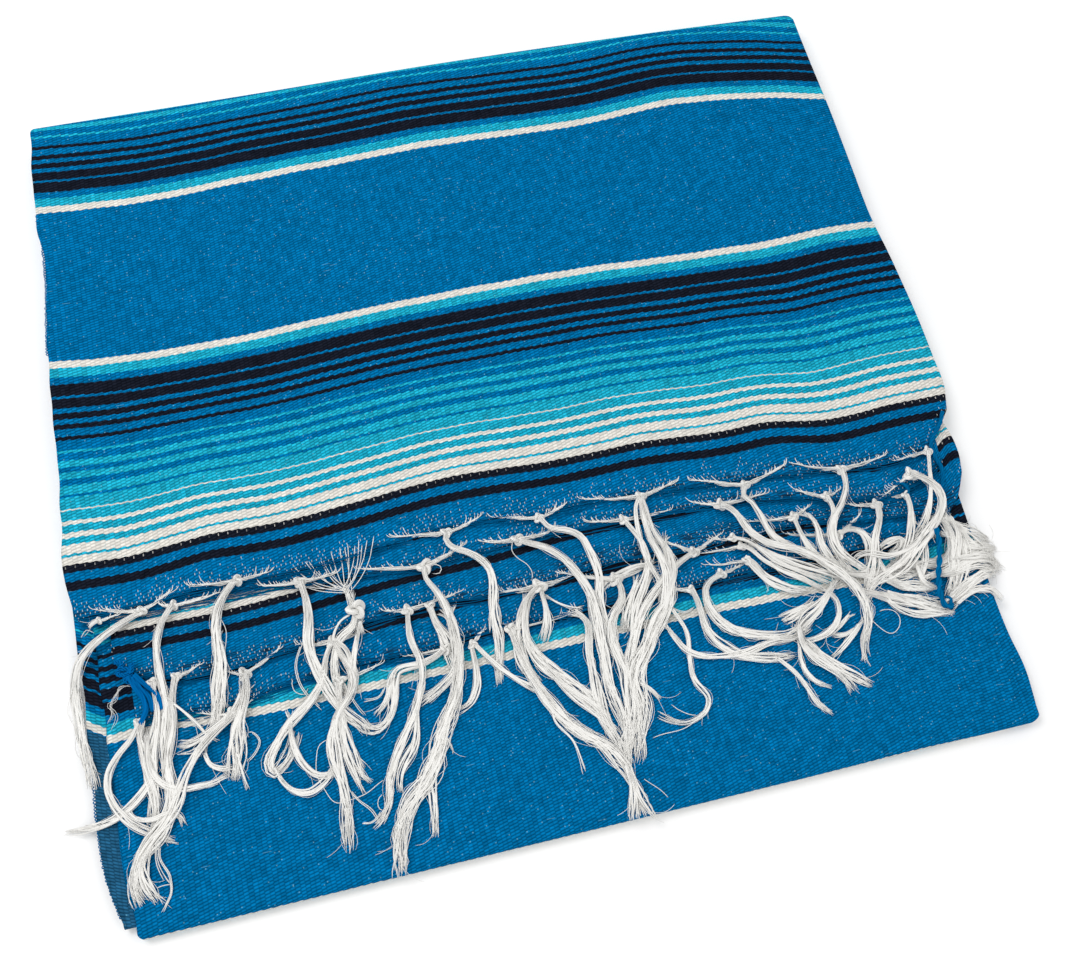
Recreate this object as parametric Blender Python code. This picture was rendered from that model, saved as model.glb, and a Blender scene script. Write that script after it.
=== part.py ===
"""Folded striped serape with knotted fringe, as closed solids.

Frame: origin at the middle of the footprint on the resting surface, +X along
the stripes, +Y from the front fold to the far fold, +Z up. Metres.

The cloth is folded in half across its width (fold on the right), in half along
its length (fold at the front), and its four fringed ends are turned over on
top (fold at the far side). Each stretch that shows is a wall of its own; the
layers between them are one rounded solid with layered edges.
"""

from collections import namedtuple

import bmesh
import bpy
import numpy as np

MM = 0.001

# Cloth and clearances
CLOTH = 1.8 * MM                 # thickness of the woven cloth
GAP = 0.3 * MM                   # clearance between neighbouring pieces
PITCH = CLOTH + GAP              # height that one more layer adds

# Heights of the layers at the front, counted from the top layer down
HIDDEN_LOW = 7.4 * MM            # two hidden layers that lie on the surface
SIXTH_BASE = HIDDEN_LOW + GAP
FIFTH_BASE = SIXTH_BASE + PITCH
FOURTH_BASE = FIFTH_BASE + PITCH
THIRD_BASE = FOURTH_BASE + PITCH
SECOND_BASE = THIRD_BASE + PITCH
FIRST_BASE = SECOND_BASE + PITCH

# Folds
PILE = 25.5 * MM                 # height of the whole pile at the far fold
FAR_RADIUS = PILE / 2
FRONT_RADIUS = (FIFTH_BASE + CLOTH) / 2
INNER_RADIUS = (SIXTH_BASE + CLOTH - PITCH) / 2
TUCK = 12 * MM                   # cloth that turns under at a fold
TOP_ROLL = 4.5 * MM              # radius of the first layer's right-hand fold
LOW_ROLL = 3.0 * MM              # radius of the fifth layer's right-hand fold
ROLL_TURN = np.radians(160)      # how far a right-hand fold turns under
LOW_LAST_TURN = np.radians(80)   # and how far the fifth layer's does at the front fold
FAR_CORNER = 6 * MM              # how far the far fold's corners draw in
FRONT_CORNER = 4 * MM            # and the front fold's

# Places along Y
FRONT = -0.330                   # front fold
BUTT = -0.0415                   # front face of the hidden upper layers
INNER_FRONT = -0.3205            # front fold of the sixth layer
HIDDEN_FRONT = -0.3055           # front of the hidden lower layers

# Soft swell of the cloth
SWELL = 0.5 * MM                 # height of the swell that all the layers share
CROWN = 1.3 * MM                 # height of the first layer's own swell
RISE = PILE - (FIRST_BASE + CLOTH)

# Hidden layers: how far each edge stands in from the selvage or the fold
LOW_SELVAGES = [3.0 * MM, 1.0 * MM]
HIGH_SELVAGES = [2.5 * MM, 5.0 * MM, 1.5 * MM, 4.0 * MM, 2.0 * MM]
GROOVE = 2.6 * MM                # depth of the groove between two layers
FOLD_NOSE = 1.2 * MM             # how far a fold's nose stands out from its shoulders
SET_IN = 1.0 * MM                # how far the hidden layers stay inside the first one's outline
ROLL_ROOM = TOP_ROLL + 1.2 * MM  # room at the right for the first layer's own fold
SIDE_LEFT = 9.0 * MM             # width of the layered edge at the left
SIDE_RIGHT = 4.5 * MM            # and at the right
NOSE_ROOM = 1.5 * MM             # how far the hidden layers stay clear inside the far fold
NOSE_TURNS = (24, 42, 57, 69)    # degrees round the far fold at which the nose has sections

# Fringe
BACKING = 4.0 * MM               # depth of the strip that carries the locks
LOCK_WIDTH = 3.0 * MM
LOCK_SPACE = 3.7 * MM            # from one lock's middle to the next at the roots
LOCK_TIP = 0.45                  # tip size as a share of the root size
LOCK_THICK = 1.5 * MM
LOCKS_PER_KNOT = 3
LOCK_RINGS = 7
TIP_SPREAD = 6.0 * MM            # from one lock's tip to the next
TIP_STEP = 0.035                 # how much shorter one lock of a knot is than the next

Edge = namedtuple("Edge", "y left right")
Far = namedtuple("Far", "x y")
End = namedtuple("End", "x first second third fourth")
Knot = namedtuple("Knot", "x tip_x tip_y bow")
Layer = namedtuple("Layer", "left right")

# Left selvage and right-hand fold of the first layer, front to back
TOP_EDGES = [
    Edge(-0.100, -0.3382, 0.3578),
    Edge(-0.064, -0.3405, 0.3635),
    Edge(0.006, -0.3365, 0.3635),
    Edge(0.056, -0.3350, 0.3610),
    Edge(0.106, -0.3335, 0.3565),
    Edge(0.196, -0.3275, 0.3535),
    Edge(0.236, -0.3290, 0.3520),
    Edge(0.320, -0.3260, 0.3500),
]

# Left selvage and right-hand fold of the fifth layer
LOW_EDGES = [
    Edge(-0.3180, -0.3230, 0.3505),
    Edge(-0.2900, -0.3270, 0.3525),
    Edge(-0.2600, -0.3272, 0.3495),
    Edge(-0.2000, -0.3275, 0.3490),
    Edge(-0.0400, -0.3280, 0.3520),
]

# Left selvage of the sixth layer; its right end is hidden
INNER_EDGES = [
    Edge(-0.3205, -0.3310, 0.3360),
    Edge(-0.2900, -0.3385, 0.3360),
    Edge(-0.2000, -0.3405, 0.3360),
    Edge(-0.0400, -0.3400, 0.3360),
]

# The far fold isn't quite straight
FAR_EDGE = [
    Far(-0.330, 0.3205),
    Far(-0.150, 0.3248),
    Far(0.030, 0.3302),
    Far(0.200, 0.3315),
    Far(0.363, 0.3300),
]

# Where the four woven ends lie, left to right
ENDS = [
    End(-0.340, -0.103, -0.106, -0.155, -0.182),
    End(-0.290, -0.103, -0.107, -0.158, -0.185),
    End(-0.240, -0.099, -0.107, -0.164, -0.187),
    End(-0.190, -0.101, -0.109, -0.157, -0.181),
    End(-0.140, -0.099, -0.113, -0.150, -0.178),
    End(-0.090, -0.093, -0.117, -0.146, -0.177),
    End(-0.040, -0.091, -0.114, -0.149, -0.174),
    End(0.010, -0.095, -0.112, -0.147, -0.175),
    End(0.060, -0.093, -0.1125, -0.143, -0.173),
    End(0.110, -0.096, -0.114, -0.146, -0.174),
    End(0.160, -0.099, -0.116, -0.144, -0.172),
    End(0.210, -0.103, -0.122, -0.144, -0.172),
    End(0.260, -0.108, -0.134, -0.151, -0.173),
    End(0.310, -0.109, -0.133, -0.156, -0.175),
    End(0.335, -0.103, -0.122, -0.159, -0.176),
    End(0.365, -0.070, -0.100, -0.150, -0.176),
]

# Sides of the three layer ends that show under the first one
SECOND_SIDES = Layer(-0.3360, 0.3440)
THIRD_SIDES = Layer(-0.3150, 0.3520)
FOURTH_SIDES = Layer(-0.3060, 0.3440)

# Knots of each fringe: where the locks start, where they end, how far they bow out sideways
KNOTS = {
    "first": [
        Knot(-0.290, -0.334, -0.222, -0.024),
        Knot(-0.262, -0.252, -0.215, -0.006),
        Knot(-0.222, -0.226, -0.225, 0.004),
        Knot(-0.174, -0.180, -0.225, 0.006),
        Knot(-0.139, -0.142, -0.230, 0.004),
        Knot(-0.063, -0.045, -0.215, 0.004),
        Knot(0.009, 0.034, -0.220, 0.008),
        Knot(0.090, 0.068, -0.225, 0.010),
        Knot(0.175, 0.214, -0.225, -0.004),
        Knot(0.253, 0.252, -0.230, -0.006),
        Knot(0.322, 0.310, -0.225, 0.000),
    ],
    "second": [
        Knot(-0.085, -0.112, -0.245, 0.006),
        Knot(-0.010, 0.005, -0.245, 0.006),
        Knot(0.073, 0.045, -0.255, 0.008),
        Knot(0.152, 0.190, -0.250, -0.008),
        Knot(0.237, 0.228, -0.255, -0.006),
        Knot(0.274, 0.276, -0.235, 0.004),
        Knot(0.310, 0.342, -0.225, 0.008),
    ],
    "third": [
        Knot(-0.298, -0.322, -0.268, -0.004),
        Knot(-0.273, -0.288, -0.258, 0.000),
        Knot(-0.225, -0.240, -0.268, 0.006),
        Knot(-0.160, -0.172, -0.290, 0.008),
        Knot(-0.102, -0.128, -0.278, 0.006),
        Knot(-0.020, 0.004, -0.285, -0.008),
        Knot(0.040, 0.034, -0.290, 0.006),
        Knot(0.120, 0.172, -0.285, -0.010),
        Knot(0.206, 0.222, -0.268, -0.006),
        Knot(0.300, 0.330, -0.245, 0.006),
    ],
    "fourth": [
        Knot(-0.300, -0.358, -0.250, 0.000),
        Knot(-0.280, -0.304, -0.305, -0.012),
        Knot(-0.225, -0.252, -0.272, 0.008),
        Knot(-0.165, -0.176, -0.308, 0.006),
        Knot(-0.085, -0.140, -0.318, 0.008),
        Knot(-0.020, 0.012, -0.312, -0.008),
        Knot(0.030, 0.038, -0.316, 0.006),
        Knot(0.110, 0.100, -0.275, 0.012),
        Knot(0.150, 0.196, -0.308, -0.008),
        Knot(0.215, 0.232, -0.262, -0.006),
        Knot(0.270, 0.280, -0.240, 0.004),
        Knot(0.318, 0.349, -0.236, 0.006),
    ],
}
STRAY_DROP = 7.0 * MM            # the leftmost locks of the fourth row sag past the selvage

BLUE = (0.004, 0.115, 0.330)
DEEP_BLUE = (0.004, 0.070, 0.220)
LIGHT_BLUE = (0.030, 0.360, 0.520)
NAVY = (0.008, 0.010, 0.025)
CREAM = (0.800, 0.780, 0.700)


def clear_scene():
    """Remove every object, so that the file holds this model alone."""
    for item in list(bpy.data.objects):
        bpy.data.objects.remove(item, do_unlink=True)


def smooth(value, start, end):
    """Ease from 0 at start to 1 at end."""
    share = np.clip((value - start) / (end - start), 0.0, 1.0)
    return share * share * (3 - 2 * share)


def read(rows, key, column, at):
    """Read a table's column on a smooth curve through its rows (cubic Hermite)."""
    keys = np.array([getattr(row, key) for row in rows])
    values = np.array([getattr(row, column) for row in rows])
    slopes = np.gradient(values, keys)
    at = np.clip(at, keys[0], keys[-1])
    index = np.clip(np.searchsorted(keys, at) - 1, 0, len(keys) - 2)
    width = keys[index + 1] - keys[index]
    t = (at - keys[index]) / width
    start = (1 + 2 * t) * (1 - t) ** 2 * values[index] + t * (1 - t) ** 2 * width * slopes[index]
    end = t * t * (3 - 2 * t) * values[index + 1] + t * t * (t - 1) * width * slopes[index + 1]
    return start + end


def swell(x, y):
    """Height of the soft swell that all the layers share; it fades at both folds."""
    fade = smooth(y, FRONT + 0.01, FRONT + 0.09) * (1 - smooth(y, 0.22, 0.30))
    return SWELL * fade * np.sin(2 * np.pi * (x / 0.46 + 0.12)) * np.cos(2 * np.pi * y / 0.62)


def top_height(x, y):
    """Height of the first layer's upper side."""
    rise = smooth(y, -0.085, 0.06)
    fade = rise * (1 - smooth(y, 0.22, 0.30))
    crown = CROWN * fade * np.cos(2 * np.pi * (x / 0.52 - 0.05)) * np.sin(2 * np.pi * (y / 0.40 + 0.1))
    return FIRST_BASE + CLOTH + RISE * rise + swell(x, y) + crown


def far_axis(x):
    """Y of the axis about which the far fold turns."""
    return read(FAR_EDGE, "x", "y", x) - FAR_RADIUS


def normals(grid):
    """Unit normals of a grid of points, to the side of (second way) x (first way)."""
    along = np.gradient(grid, axis=0)
    across = np.gradient(grid, axis=1)
    out = np.cross(across, along)
    return out / np.linalg.norm(out, axis=2, keepdims=True)


def add_object(name, points, faces, color):
    """Put a closed mesh in the scene with its own plain cloth material."""
    mesh = bpy.data.meshes.new(name)
    mesh.from_pydata([tuple(point) for point in points], [], faces)
    work = bmesh.new()
    work.from_mesh(mesh)
    bmesh.ops.recalc_face_normals(work, faces=work.faces)
    bmesh.ops.triangulate(work, faces=work.faces)
    work.to_mesh(mesh)
    work.free()
    item = bpy.data.objects.new(name, mesh)
    bpy.context.scene.collection.objects.link(item)
    material = bpy.data.materials.new(name)
    material.use_nodes = True
    shader = material.node_tree.nodes["Principled BSDF"]
    shader.inputs["Base Color"].default_value = (*color, 1.0)
    shader.inputs["Roughness"].default_value = 0.9
    shader.inputs["Metallic"].default_value = 0.0
    mesh.materials.append(material)
    return item


def add_wall(name, outer, color):
    """A wall of cloth: a grid of outer points, and the same points moved in by the cloth's thickness."""
    inner = outer - CLOTH * normals(outer)
    rows, columns = outer.shape[:2]
    points = np.concatenate([outer.reshape(-1, 3), inner.reshape(-1, 3)])
    shift = rows * columns
    faces = []
    for row in range(rows - 1):
        for column in range(columns - 1):
            a = row * columns + column
            b, c, d = a + 1, a + columns + 1, a + columns
            faces.append((a, b, c, d))
            faces.append((a + shift, d + shift, c + shift, b + shift))
    rim = [(0, column) for column in range(columns)]
    rim += [(row, columns - 1) for row in range(1, rows)]
    rim += [(rows - 1, column) for column in range(columns - 2, -1, -1)]
    rim += [(row, 0) for row in range(rows - 2, 0, -1)]
    loop = [row * columns + column for row, column in rim]
    for start, end in zip(loop, loop[1:] + loop[:1]):
        faces.append((end, start, start + shift, end + shift))
    return add_object(name, points, faces, color)


def rolled_sheet(path, edges_at, columns, roll_columns, radius, last_turn):
    """A sheet whose right-hand side turns down in a fold.

    path.at(x, share) gives y, z and the outward normal's y and z at a share of
    the way along; edges_at(share) gives the left selvage and the fold's outer x.
    The side turns under by ROLL_TURN, and by last_turn at the sheet's own fold.
    """
    shares = path.shares
    across = np.linspace(0.0, 1.0, columns)
    grid = np.zeros((len(shares), columns + roll_columns, 3))
    for row, share in enumerate(shares):
        left, right = edges_at(share)
        near_fold = smooth(share[1], 0.80, 0.97) if share[0] == "flat" else 1.0
        turned = ROLL_TURN + (last_turn - ROLL_TURN) * near_fold
        turns = np.linspace(0.0, turned, roll_columns + 1)[1:]
        flat = left + (right - radius - left) * across
        start = np.full(roll_columns, right - radius)
        x = np.concatenate([flat, start])
        turn = np.concatenate([np.zeros(columns), turns])
        y, z, normal_y, normal_z = path.at(x + radius * turn, share)
        sink = radius * (1 - np.cos(turn))
        grid[row, :, 0] = x + radius * np.sin(turn)
        grid[row, :, 1] = y - normal_y * sink
        grid[row, :, 2] = z - normal_z * sink
    return grid


class TopPath:
    """Way of the first layer: from its woven end over the top and round the far fold."""

    flat = [("flat", value) for value in np.linspace(0.0, 1.0, 15)]
    fold = [("fold", value) for value in np.linspace(0.0, np.pi, 10)[1:]]
    shares = flat + fold + [("tuck", 1.0)]

    @staticmethod
    def at(x, share):
        """Y, Z and the outward normal's Y and Z of the outer face."""
        kind, value = share
        axis = far_axis(x)
        zero = np.zeros_like(x)
        if kind == "flat":
            start = read(ENDS, "x", "first", x)
            y = start + (axis - start) * value
            return y, top_height(x, y), zero, zero + 1
        if kind == "fold":
            out_y = zero + np.sin(value)
            out_z = zero + np.cos(value)
            return axis + FAR_RADIUS * out_y, FAR_RADIUS + FAR_RADIUS * out_z, out_y, out_z
        return axis - TUCK, zero, zero, zero - 1


class FoldPath:
    """Way of a layer from the hidden stack forward, round its front fold and under."""

    def __init__(self, front, radius, top, rows, fold_rows):
        self.axis = front + radius
        self.radius = radius
        self.top = top
        flat = [("flat", value) for value in np.linspace(0.0, 1.0, rows)]
        fold = [("fold", value) for value in np.linspace(0.0, np.pi, fold_rows)[1:]]
        self.shares = flat + fold + [("tuck", 1.0)]

    def at(self, x, share):
        """Y, Z and the outward normal's Y and Z of the outer face."""
        kind, value = share
        zero = np.zeros_like(x)
        if kind == "flat":
            y = BUTT - GAP + (self.axis - BUTT + GAP) * value + zero
            return y, self.top + swell(x, y), zero, zero + 1
        if kind == "fold":
            out_y = zero - np.sin(value)
            out_z = zero + np.cos(value)
            middle = self.top - self.radius
            return self.axis + self.radius * out_y, middle + self.radius * out_z, out_y, out_z
        y = self.axis + TUCK * self.radius / FRONT_RADIUS
        return zero + y, zero + self.top - 2 * self.radius, zero, zero - 1


def corner_draw(share, most):
    """How far the sides draw in at a share of the way: only round a fold."""
    kind, value = share
    if kind == "fold":
        return most * np.sin(value) ** 3
    return 0.0


def make_top_layer():
    """First layer, its right-hand fold, the far fold and the tuck under it; gives its woven end."""
    front, back = TOP_EDGES[0].y, TOP_EDGES[-1].y

    def edges_at(share):
        kind, value = share
        y = front + (back - front) * value if kind == "flat" else back
        draw = corner_draw(share, FAR_CORNER)
        return read(TOP_EDGES, "y", "left", y) + draw, read(TOP_EDGES, "y", "right", y) - draw

    grid = rolled_sheet(TopPath, edges_at, 17, 6, TOP_ROLL, ROLL_TURN)
    add_wall("top_layer", grid, BLUE)
    return grid[0, :17, :2]


def make_lower_layer():
    """Fifth layer: the plain front part with the front fold and its right-hand fold."""
    path = FoldPath(FRONT, FRONT_RADIUS, FIFTH_BASE + CLOTH, 10, 8)

    def edges_at(share):
        kind, value = share
        y = path.axis if kind != "flat" else BUTT + (path.axis - BUTT) * value
        draw = corner_draw(share, FRONT_CORNER)
        return read(LOW_EDGES, "y", "left", y) + draw, read(LOW_EDGES, "y", "right", y) - draw

    grid = rolled_sheet(path, edges_at, 15, 5, LOW_ROLL, LOW_LAST_TURN)
    add_wall("lower_layer", grid[:, ::-1], BLUE)


def make_inner_layer():
    """Sixth layer: shows at the left, with a front fold inside the fifth layer's."""
    path = FoldPath(INNER_FRONT, INNER_RADIUS, SIXTH_BASE + CLOTH, 9, 7)
    across = np.linspace(0.0, 1.0, 12)
    rows = []
    for share in path.shares:
        kind, value = share
        edge_y = INNER_FRONT if kind != "flat" else BUTT + (path.axis - BUTT) * value
        left = read(INNER_EDGES, "y", "left", edge_y)
        right = read(INNER_EDGES, "y", "right", edge_y)
        x = left + (right - left) * across
        y, z = path.at(x, share)[:2]
        rows.append(np.stack([x, y, z], axis=1))
    add_wall("inner_layer", np.array(rows)[:, ::-1], DEEP_BLUE)


def make_layer_end(name, column, base, sides, color):
    """The end of a hidden layer, from its woven edge back to the hidden stack; gives that edge."""
    x = np.linspace(sides.left, sides.right, 26)
    start = read(ENDS, "x", column, x)
    rows = []
    for share in np.linspace(0.0, 1.0, 4):
        y = start + (BUTT - GAP - start) * share
        rows.append(np.stack([x, y, base + CLOTH + swell(x, y)], axis=1))
    add_wall(name, np.array(rows), color)
    return rows[0][:, :2]


def selvage_profile(low, high, offsets):
    """Left side of a stack: each layer a blunt edge, with a groove between layers."""
    step = (high - low) / len(offsets)
    points = []
    for number, offset in enumerate(offsets):
        base = low + number * step
        if number:
            points.append((max(offset, offsets[number - 1]) + GROOVE, base))
        points.append((offset, base + 0.25 * step))
        points.append((offset, base + 0.80 * step))
    return points


def fold_profile(low, high, offset):
    """Right side of two layers that turn into each other: a round nose."""
    step = high - low
    return [(offset + FOLD_NOSE, low + 0.18 * step), (offset, low + 0.5 * step),
            (offset + FOLD_NOSE, low + 0.82 * step)]


class HiddenStack:
    """The hidden layers as one solid, built as a row of sections from front to back."""

    columns = 9

    def __init__(self):
        self.points = []
        self.faces = []

    def add(self, point):
        """Keep a point; gives its number."""
        self.points.append(tuple(float(value) for value in point))
        return len(self.points) - 1

    def strip(self, one, two):
        """Faces between two rows of points."""
        for a, b, c, d in zip(one, one[1:], two[1:], two):
            self.faces.append((a, b, c, d))

    def section(self, share, low, middle, top, squeeze, with_upper, tucked=False, draw=0.0):
        """One section; share runs from the step (0) to the far axis (1), or is below 0 in front of the step.

        A tucked section lies in the far fold, where the first layer's own
        right-hand fold takes up the room at the right. Its sides draw in by draw.
        """
        low_edges = LOW_EDGES if share <= 0 else TOP_EDGES
        left_edges = INNER_EDGES if share <= 0 else TOP_EDGES
        low_left = read(left_edges, "y", "left", self.y_at(0.0, share)) + SET_IN + draw
        low_right = read(low_edges, "y", "right", self.y_at(0.3, share)) - ROLL_ROOM - draw
        low_width = np.linspace(low_left + SIDE_LEFT, low_right - SIDE_RIGHT, self.columns)

        def place(x, z):
            height = FAR_RADIUS + (z - FAR_RADIUS) * squeeze if squeeze < 1 else z
            return self.add((x, self.y_at(x, share), height))

        middles = middle + swell(low_width, self.y_at(low_width, share))
        nose_shift = -SET_IN if tucked else ROLL_ROOM - 2 * SET_IN
        nose = low_right + nose_shift
        selvages = selvage_profile(low, middles[0], LOW_SELVAGES)
        fold = fold_profile(low, middles[-1] - 1.6 * MM, 0.0)
        part = {
            "bottom": [place(x, low) for x in low_width],
            "low_left": [place(low_left + inset, z) for inset, z in selvages],
            "low_right": [place(nose - inset, z) for inset, z in fold],
            "middle": [place(x, z) for x, z in zip(low_width, middles)],
        }
        if with_upper:
            left = read(TOP_EDGES, "y", "left", self.y_at(0.0, share)) + SET_IN + draw
            right = read(TOP_EDGES, "y", "right", self.y_at(0.3, share)) - ROLL_ROOM - draw
            width = np.linspace(left + SIDE_LEFT, right - SIDE_RIGHT, self.columns)
            nose = right + nose_shift
            tops = top(width, self.y_at(width, share))
            shoulder = tops[-1] - 2 * TOP_ROLL + CLOTH
            selvages = selvage_profile(middles[0], tops[0], HIGH_SELVAGES)
            fold = fold_profile(middles[-1] + 0.6 * MM, shoulder, 1.0 * MM)
            inside = (shoulder + 0.5 * MM, tops[-1] - 1.2 * MM)
            part["high_left"] = [place(left + inset, z) for inset, z in selvages]
            part["high_right"] = [place(nose - inset, z) for inset, z in fold]
            part["high_right"] += [place(right - SET_IN, z) for z in inside]
            part["top"] = [place(x, z) for x, z in zip(width, tops)]
        return part

    @staticmethod
    def y_at(x, share):
        """Y of a point of a section: in front of the step, up to the far axis, or past it."""
        if share < 0:
            return BUTT + (BUTT - HIDDEN_FRONT) * share + 0 * x
        axis = far_axis(x)
        if share <= 1:
            return BUTT + (axis - BUTT) * share
        return axis + (share - 1)

    @staticmethod
    def loop(part, with_upper):
        """Points round a section, from the bottom's left end."""
        right = part["bottom"] + part["low_right"]
        left = part["low_left"][::-1]
        if not with_upper:
            return right + part["middle"][::-1] + left
        upper = part["high_right"] + part["top"][::-1] + part["high_left"][::-1]
        return right + part["middle"][-1:] + upper + part["middle"][:1] + left

    def bridge(self, one, two):
        """Faces all round between two sections."""
        self.strip(one + one[:1], two + two[:1])

    def close_low(self, part):
        """Close the lower part of a section."""
        self.strip(part["bottom"], part["middle"])
        self.faces.append(tuple([part["bottom"][0]] + part["low_left"] + [part["middle"][0]]))
        self.faces.append(tuple([part["bottom"][-1]] + part["low_right"] + [part["middle"][-1]]))

    def close_high(self, part):
        """Close the upper part of a section."""
        self.strip(part["middle"], part["top"])
        self.faces.append(tuple([part["middle"][0]] + part["high_left"] + [part["top"][0]]))
        self.faces.append(tuple([part["middle"][-1]] + part["high_right"] + [part["top"][-1]]))

    def build(self):
        """Front stretch with the two lowest layers, step, full pile, far nose."""

        def under_top(x, y):
            return top_height(x, y) - CLOTH - 1.5 * GAP

        nose_reach = FAR_RADIUS - CLOTH - NOSE_ROOM
        front = [self.section(share, 0.0, HIDDEN_LOW, None, 1.0, False)
                 for share in np.linspace(-1.0, -0.12, 7)]
        step = self.section(0.0, 0.0, HIDDEN_LOW, under_top, 1.0, True)
        span = float(far_axis(0.0)) - BUTT
        last_flat = 1 - (TUCK + 2 * GAP) / span
        first_raised = 1 - (TUCK + GAP) / span
        full = [step] + [self.section(share, 0.0, HIDDEN_LOW, under_top, 1.0, True)
                         for share in np.concatenate([[0.015], np.linspace(0.0, last_flat, 9)[1:]])]
        raised = PITCH + 0.6 * GAP
        full += [self.section(share, raised, HIDDEN_LOW, under_top, 1.0, True, tucked=True)
                 for share in (first_raised, 1.0)]
        scale = nose_reach / (FAR_RADIUS - raised)
        for angle in np.radians(NOSE_TURNS):
            squeeze = float(np.cos(angle)) * scale
            reach = 1 + nose_reach * float(np.sin(angle))
            draw = FAR_CORNER * float(np.sin(angle)) ** 3 + SET_IN
            full.append(self.section(reach, raised, HIDDEN_LOW, under_top, squeeze, True, True, draw))
        low_loops = [self.loop(part, False) for part in front + [step]]
        for one, two in zip(low_loops, low_loops[1:]):
            self.bridge(one, two)
        high_loops = [self.loop(part, True) for part in full]
        for one, two in zip(high_loops, high_loops[1:]):
            self.bridge(one, two)
        self.close_low(front[0])
        self.close_high(step)
        self.close_low(full[-1])
        self.close_high(full[-1])
        self.drop_loose()
        add_object("hidden_layers", self.points, self.faces, DEEP_BLUE)

    def drop_loose(self):
        """Leave out points that no face uses."""
        used = sorted({index for face in self.faces for index in face})
        place = {old: new for new, old in enumerate(used)}
        self.points = [self.points[index] for index in used]
        self.faces = [tuple(place[index] for index in face) for face in self.faces]


class Fringe:
    """One row of fringe: a narrow strip along a woven end, with locks that run forward from it."""

    def __init__(self, name, column, end, base, sides, drop=0.0):
        self.name, self.column, self.end = name, column, end
        self.base, self.sides, self.drop = base, sides, drop
        self.low = (CLOTH - LOCK_THICK) / 2
        self.points = []
        self.faces = []

    def height(self, x, y):
        """Underside of the strip and the locks."""
        return self.base + self.low + swell(x, y)

    def station(self, x):
        """The strip's four corners at one x: back low, back high, front high, front low."""
        back = float(np.interp(x, self.end[:, 0], self.end[:, 1])) - GAP
        front = back - BACKING
        first = len(self.points)
        for y, rise in ((back, 0.0), (back, LOCK_THICK), (front, LOCK_THICK), (front, 0.0)):
            self.points.append((x, y, float(self.height(x, y)) + rise))
        return list(range(first, first + 4))

    def lock(self, one, two, knot, number):
        """A four-sided lock from the strip's front face between two stations to its tip."""
        beside = number - (LOCKS_PER_KNOT - 1) / 2
        root_y = self.points[one[3]][1]
        t = np.linspace(0.0, 1.0 - TIP_STEP * ((2 * number) % LOCKS_PER_KNOT), LOCK_RINGS)
        x = knot.x + (knot.tip_x - knot.x) * smooth(t, 0.0, 1.0) + knot.bow * np.sin(np.pi * t) ** 2
        y = root_y + (knot.tip_y - root_y) * t
        way = np.stack([np.gradient(x, t), np.gradient(y, t)], axis=1)
        way[0] = (0.0, -1.0)
        way /= np.linalg.norm(way, axis=1, keepdims=True)
        offset = beside * (LOCK_SPACE + (TIP_SPREAD - LOCK_SPACE) * t)
        x, y = x - way[:, 1] * offset, y + way[:, 0] * offset
        size = 1 - (1 - LOCK_TIP) * t ** 2
        half = LOCK_WIDTH / 2 * size
        left_x, left_y = x + way[:, 1] * half, y - way[:, 0] * half
        right_x, right_y = x - way[:, 1] * half, y + way[:, 0] * half
        drop = self.drop * smooth(-x, 0.335, 0.363)
        low = self.height(x, y) - drop + LOCK_THICK * (1 - size) * 0.5
        high = low + LOCK_THICK * size
        last = [one[3], one[2], two[2], two[3]]
        for ring in range(1, LOCK_RINGS):
            first = len(self.points)
            for side_x, side_y, z in ((left_x, left_y, low), (left_x, left_y, high),
                                      (right_x, right_y, high), (right_x, right_y, low)):
                self.points.append((side_x[ring], side_y[ring], z[ring]))
            this = list(range(first, first + 4))
            for a, b, c, d in zip(last, last[1:] + last[:1], this[1:] + this[:1], this):
                self.faces.append((a, b, c, d))
            last = this
        self.faces.append(tuple(last))

    def build(self):
        """Strip and locks as one closed mesh."""
        middle = (LOCKS_PER_KNOT - 1) / 2
        roots = {}
        for knot in KNOTS[self.column]:
            for number in range(LOCKS_PER_KNOT):
                start = knot.x + (number - middle) * LOCK_SPACE - LOCK_WIDTH / 2
                roots[round(start, 6)] = (knot, number)
        cuts = set(list(roots) + [round(start + LOCK_WIDTH, 6) for start in roots] + list(self.sides))
        for x in self.end[:, 0]:
            clear = all(x < start - MM or x > start + LOCK_WIDTH + MM for start in roots)
            if clear and self.sides.left + MM < x < self.sides.right - MM:
                cuts.add(round(float(x), 6))
        cuts = sorted(cuts)
        stations = [self.station(x) for x in cuts]
        self.faces.append(tuple(stations[0]))
        self.faces.append(tuple(stations[-1][::-1]))
        for x, one, two in zip(cuts, stations, stations[1:]):
            for side in (0, 1, 3):
                after = (side + 1) % 4
                self.faces.append((one[side], one[after], two[after], two[side]))
            if x in roots:
                self.lock(one, two, *roots[x])
            else:
                self.faces.append((one[2], one[3], two[3], two[2]))
        add_object(self.name, self.points, self.faces, CREAM)


def main():
    """Build every piece of the folded cloth."""
    clear_scene()
    first = make_top_layer()
    second = make_layer_end("second_layer_end", "second", SECOND_BASE, SECOND_SIDES, BLUE)
    third = make_layer_end("third_layer_end", "third", THIRD_BASE, THIRD_SIDES, NAVY)
    fourth = make_layer_end("fourth_layer_end", "fourth", FOURTH_BASE, FOURTH_SIDES, LIGHT_BLUE)
    make_lower_layer()
    make_inner_layer()
    HiddenStack().build()
    Fringe("fringe_row_1", "first", first, FIRST_BASE, Layer(-0.330, 0.334)).build()
    Fringe("fringe_row_2", "second", second, SECOND_BASE, Layer(-0.330, 0.334)).build()
    Fringe("fringe_row_3", "third", third, THIRD_BASE, Layer(-0.308, 0.334)).build()
    Fringe("fringe_row_4", "fourth", fourth, FOURTH_BASE, Layer(-0.306, 0.334), STRAY_DROP).build()


main()
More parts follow.
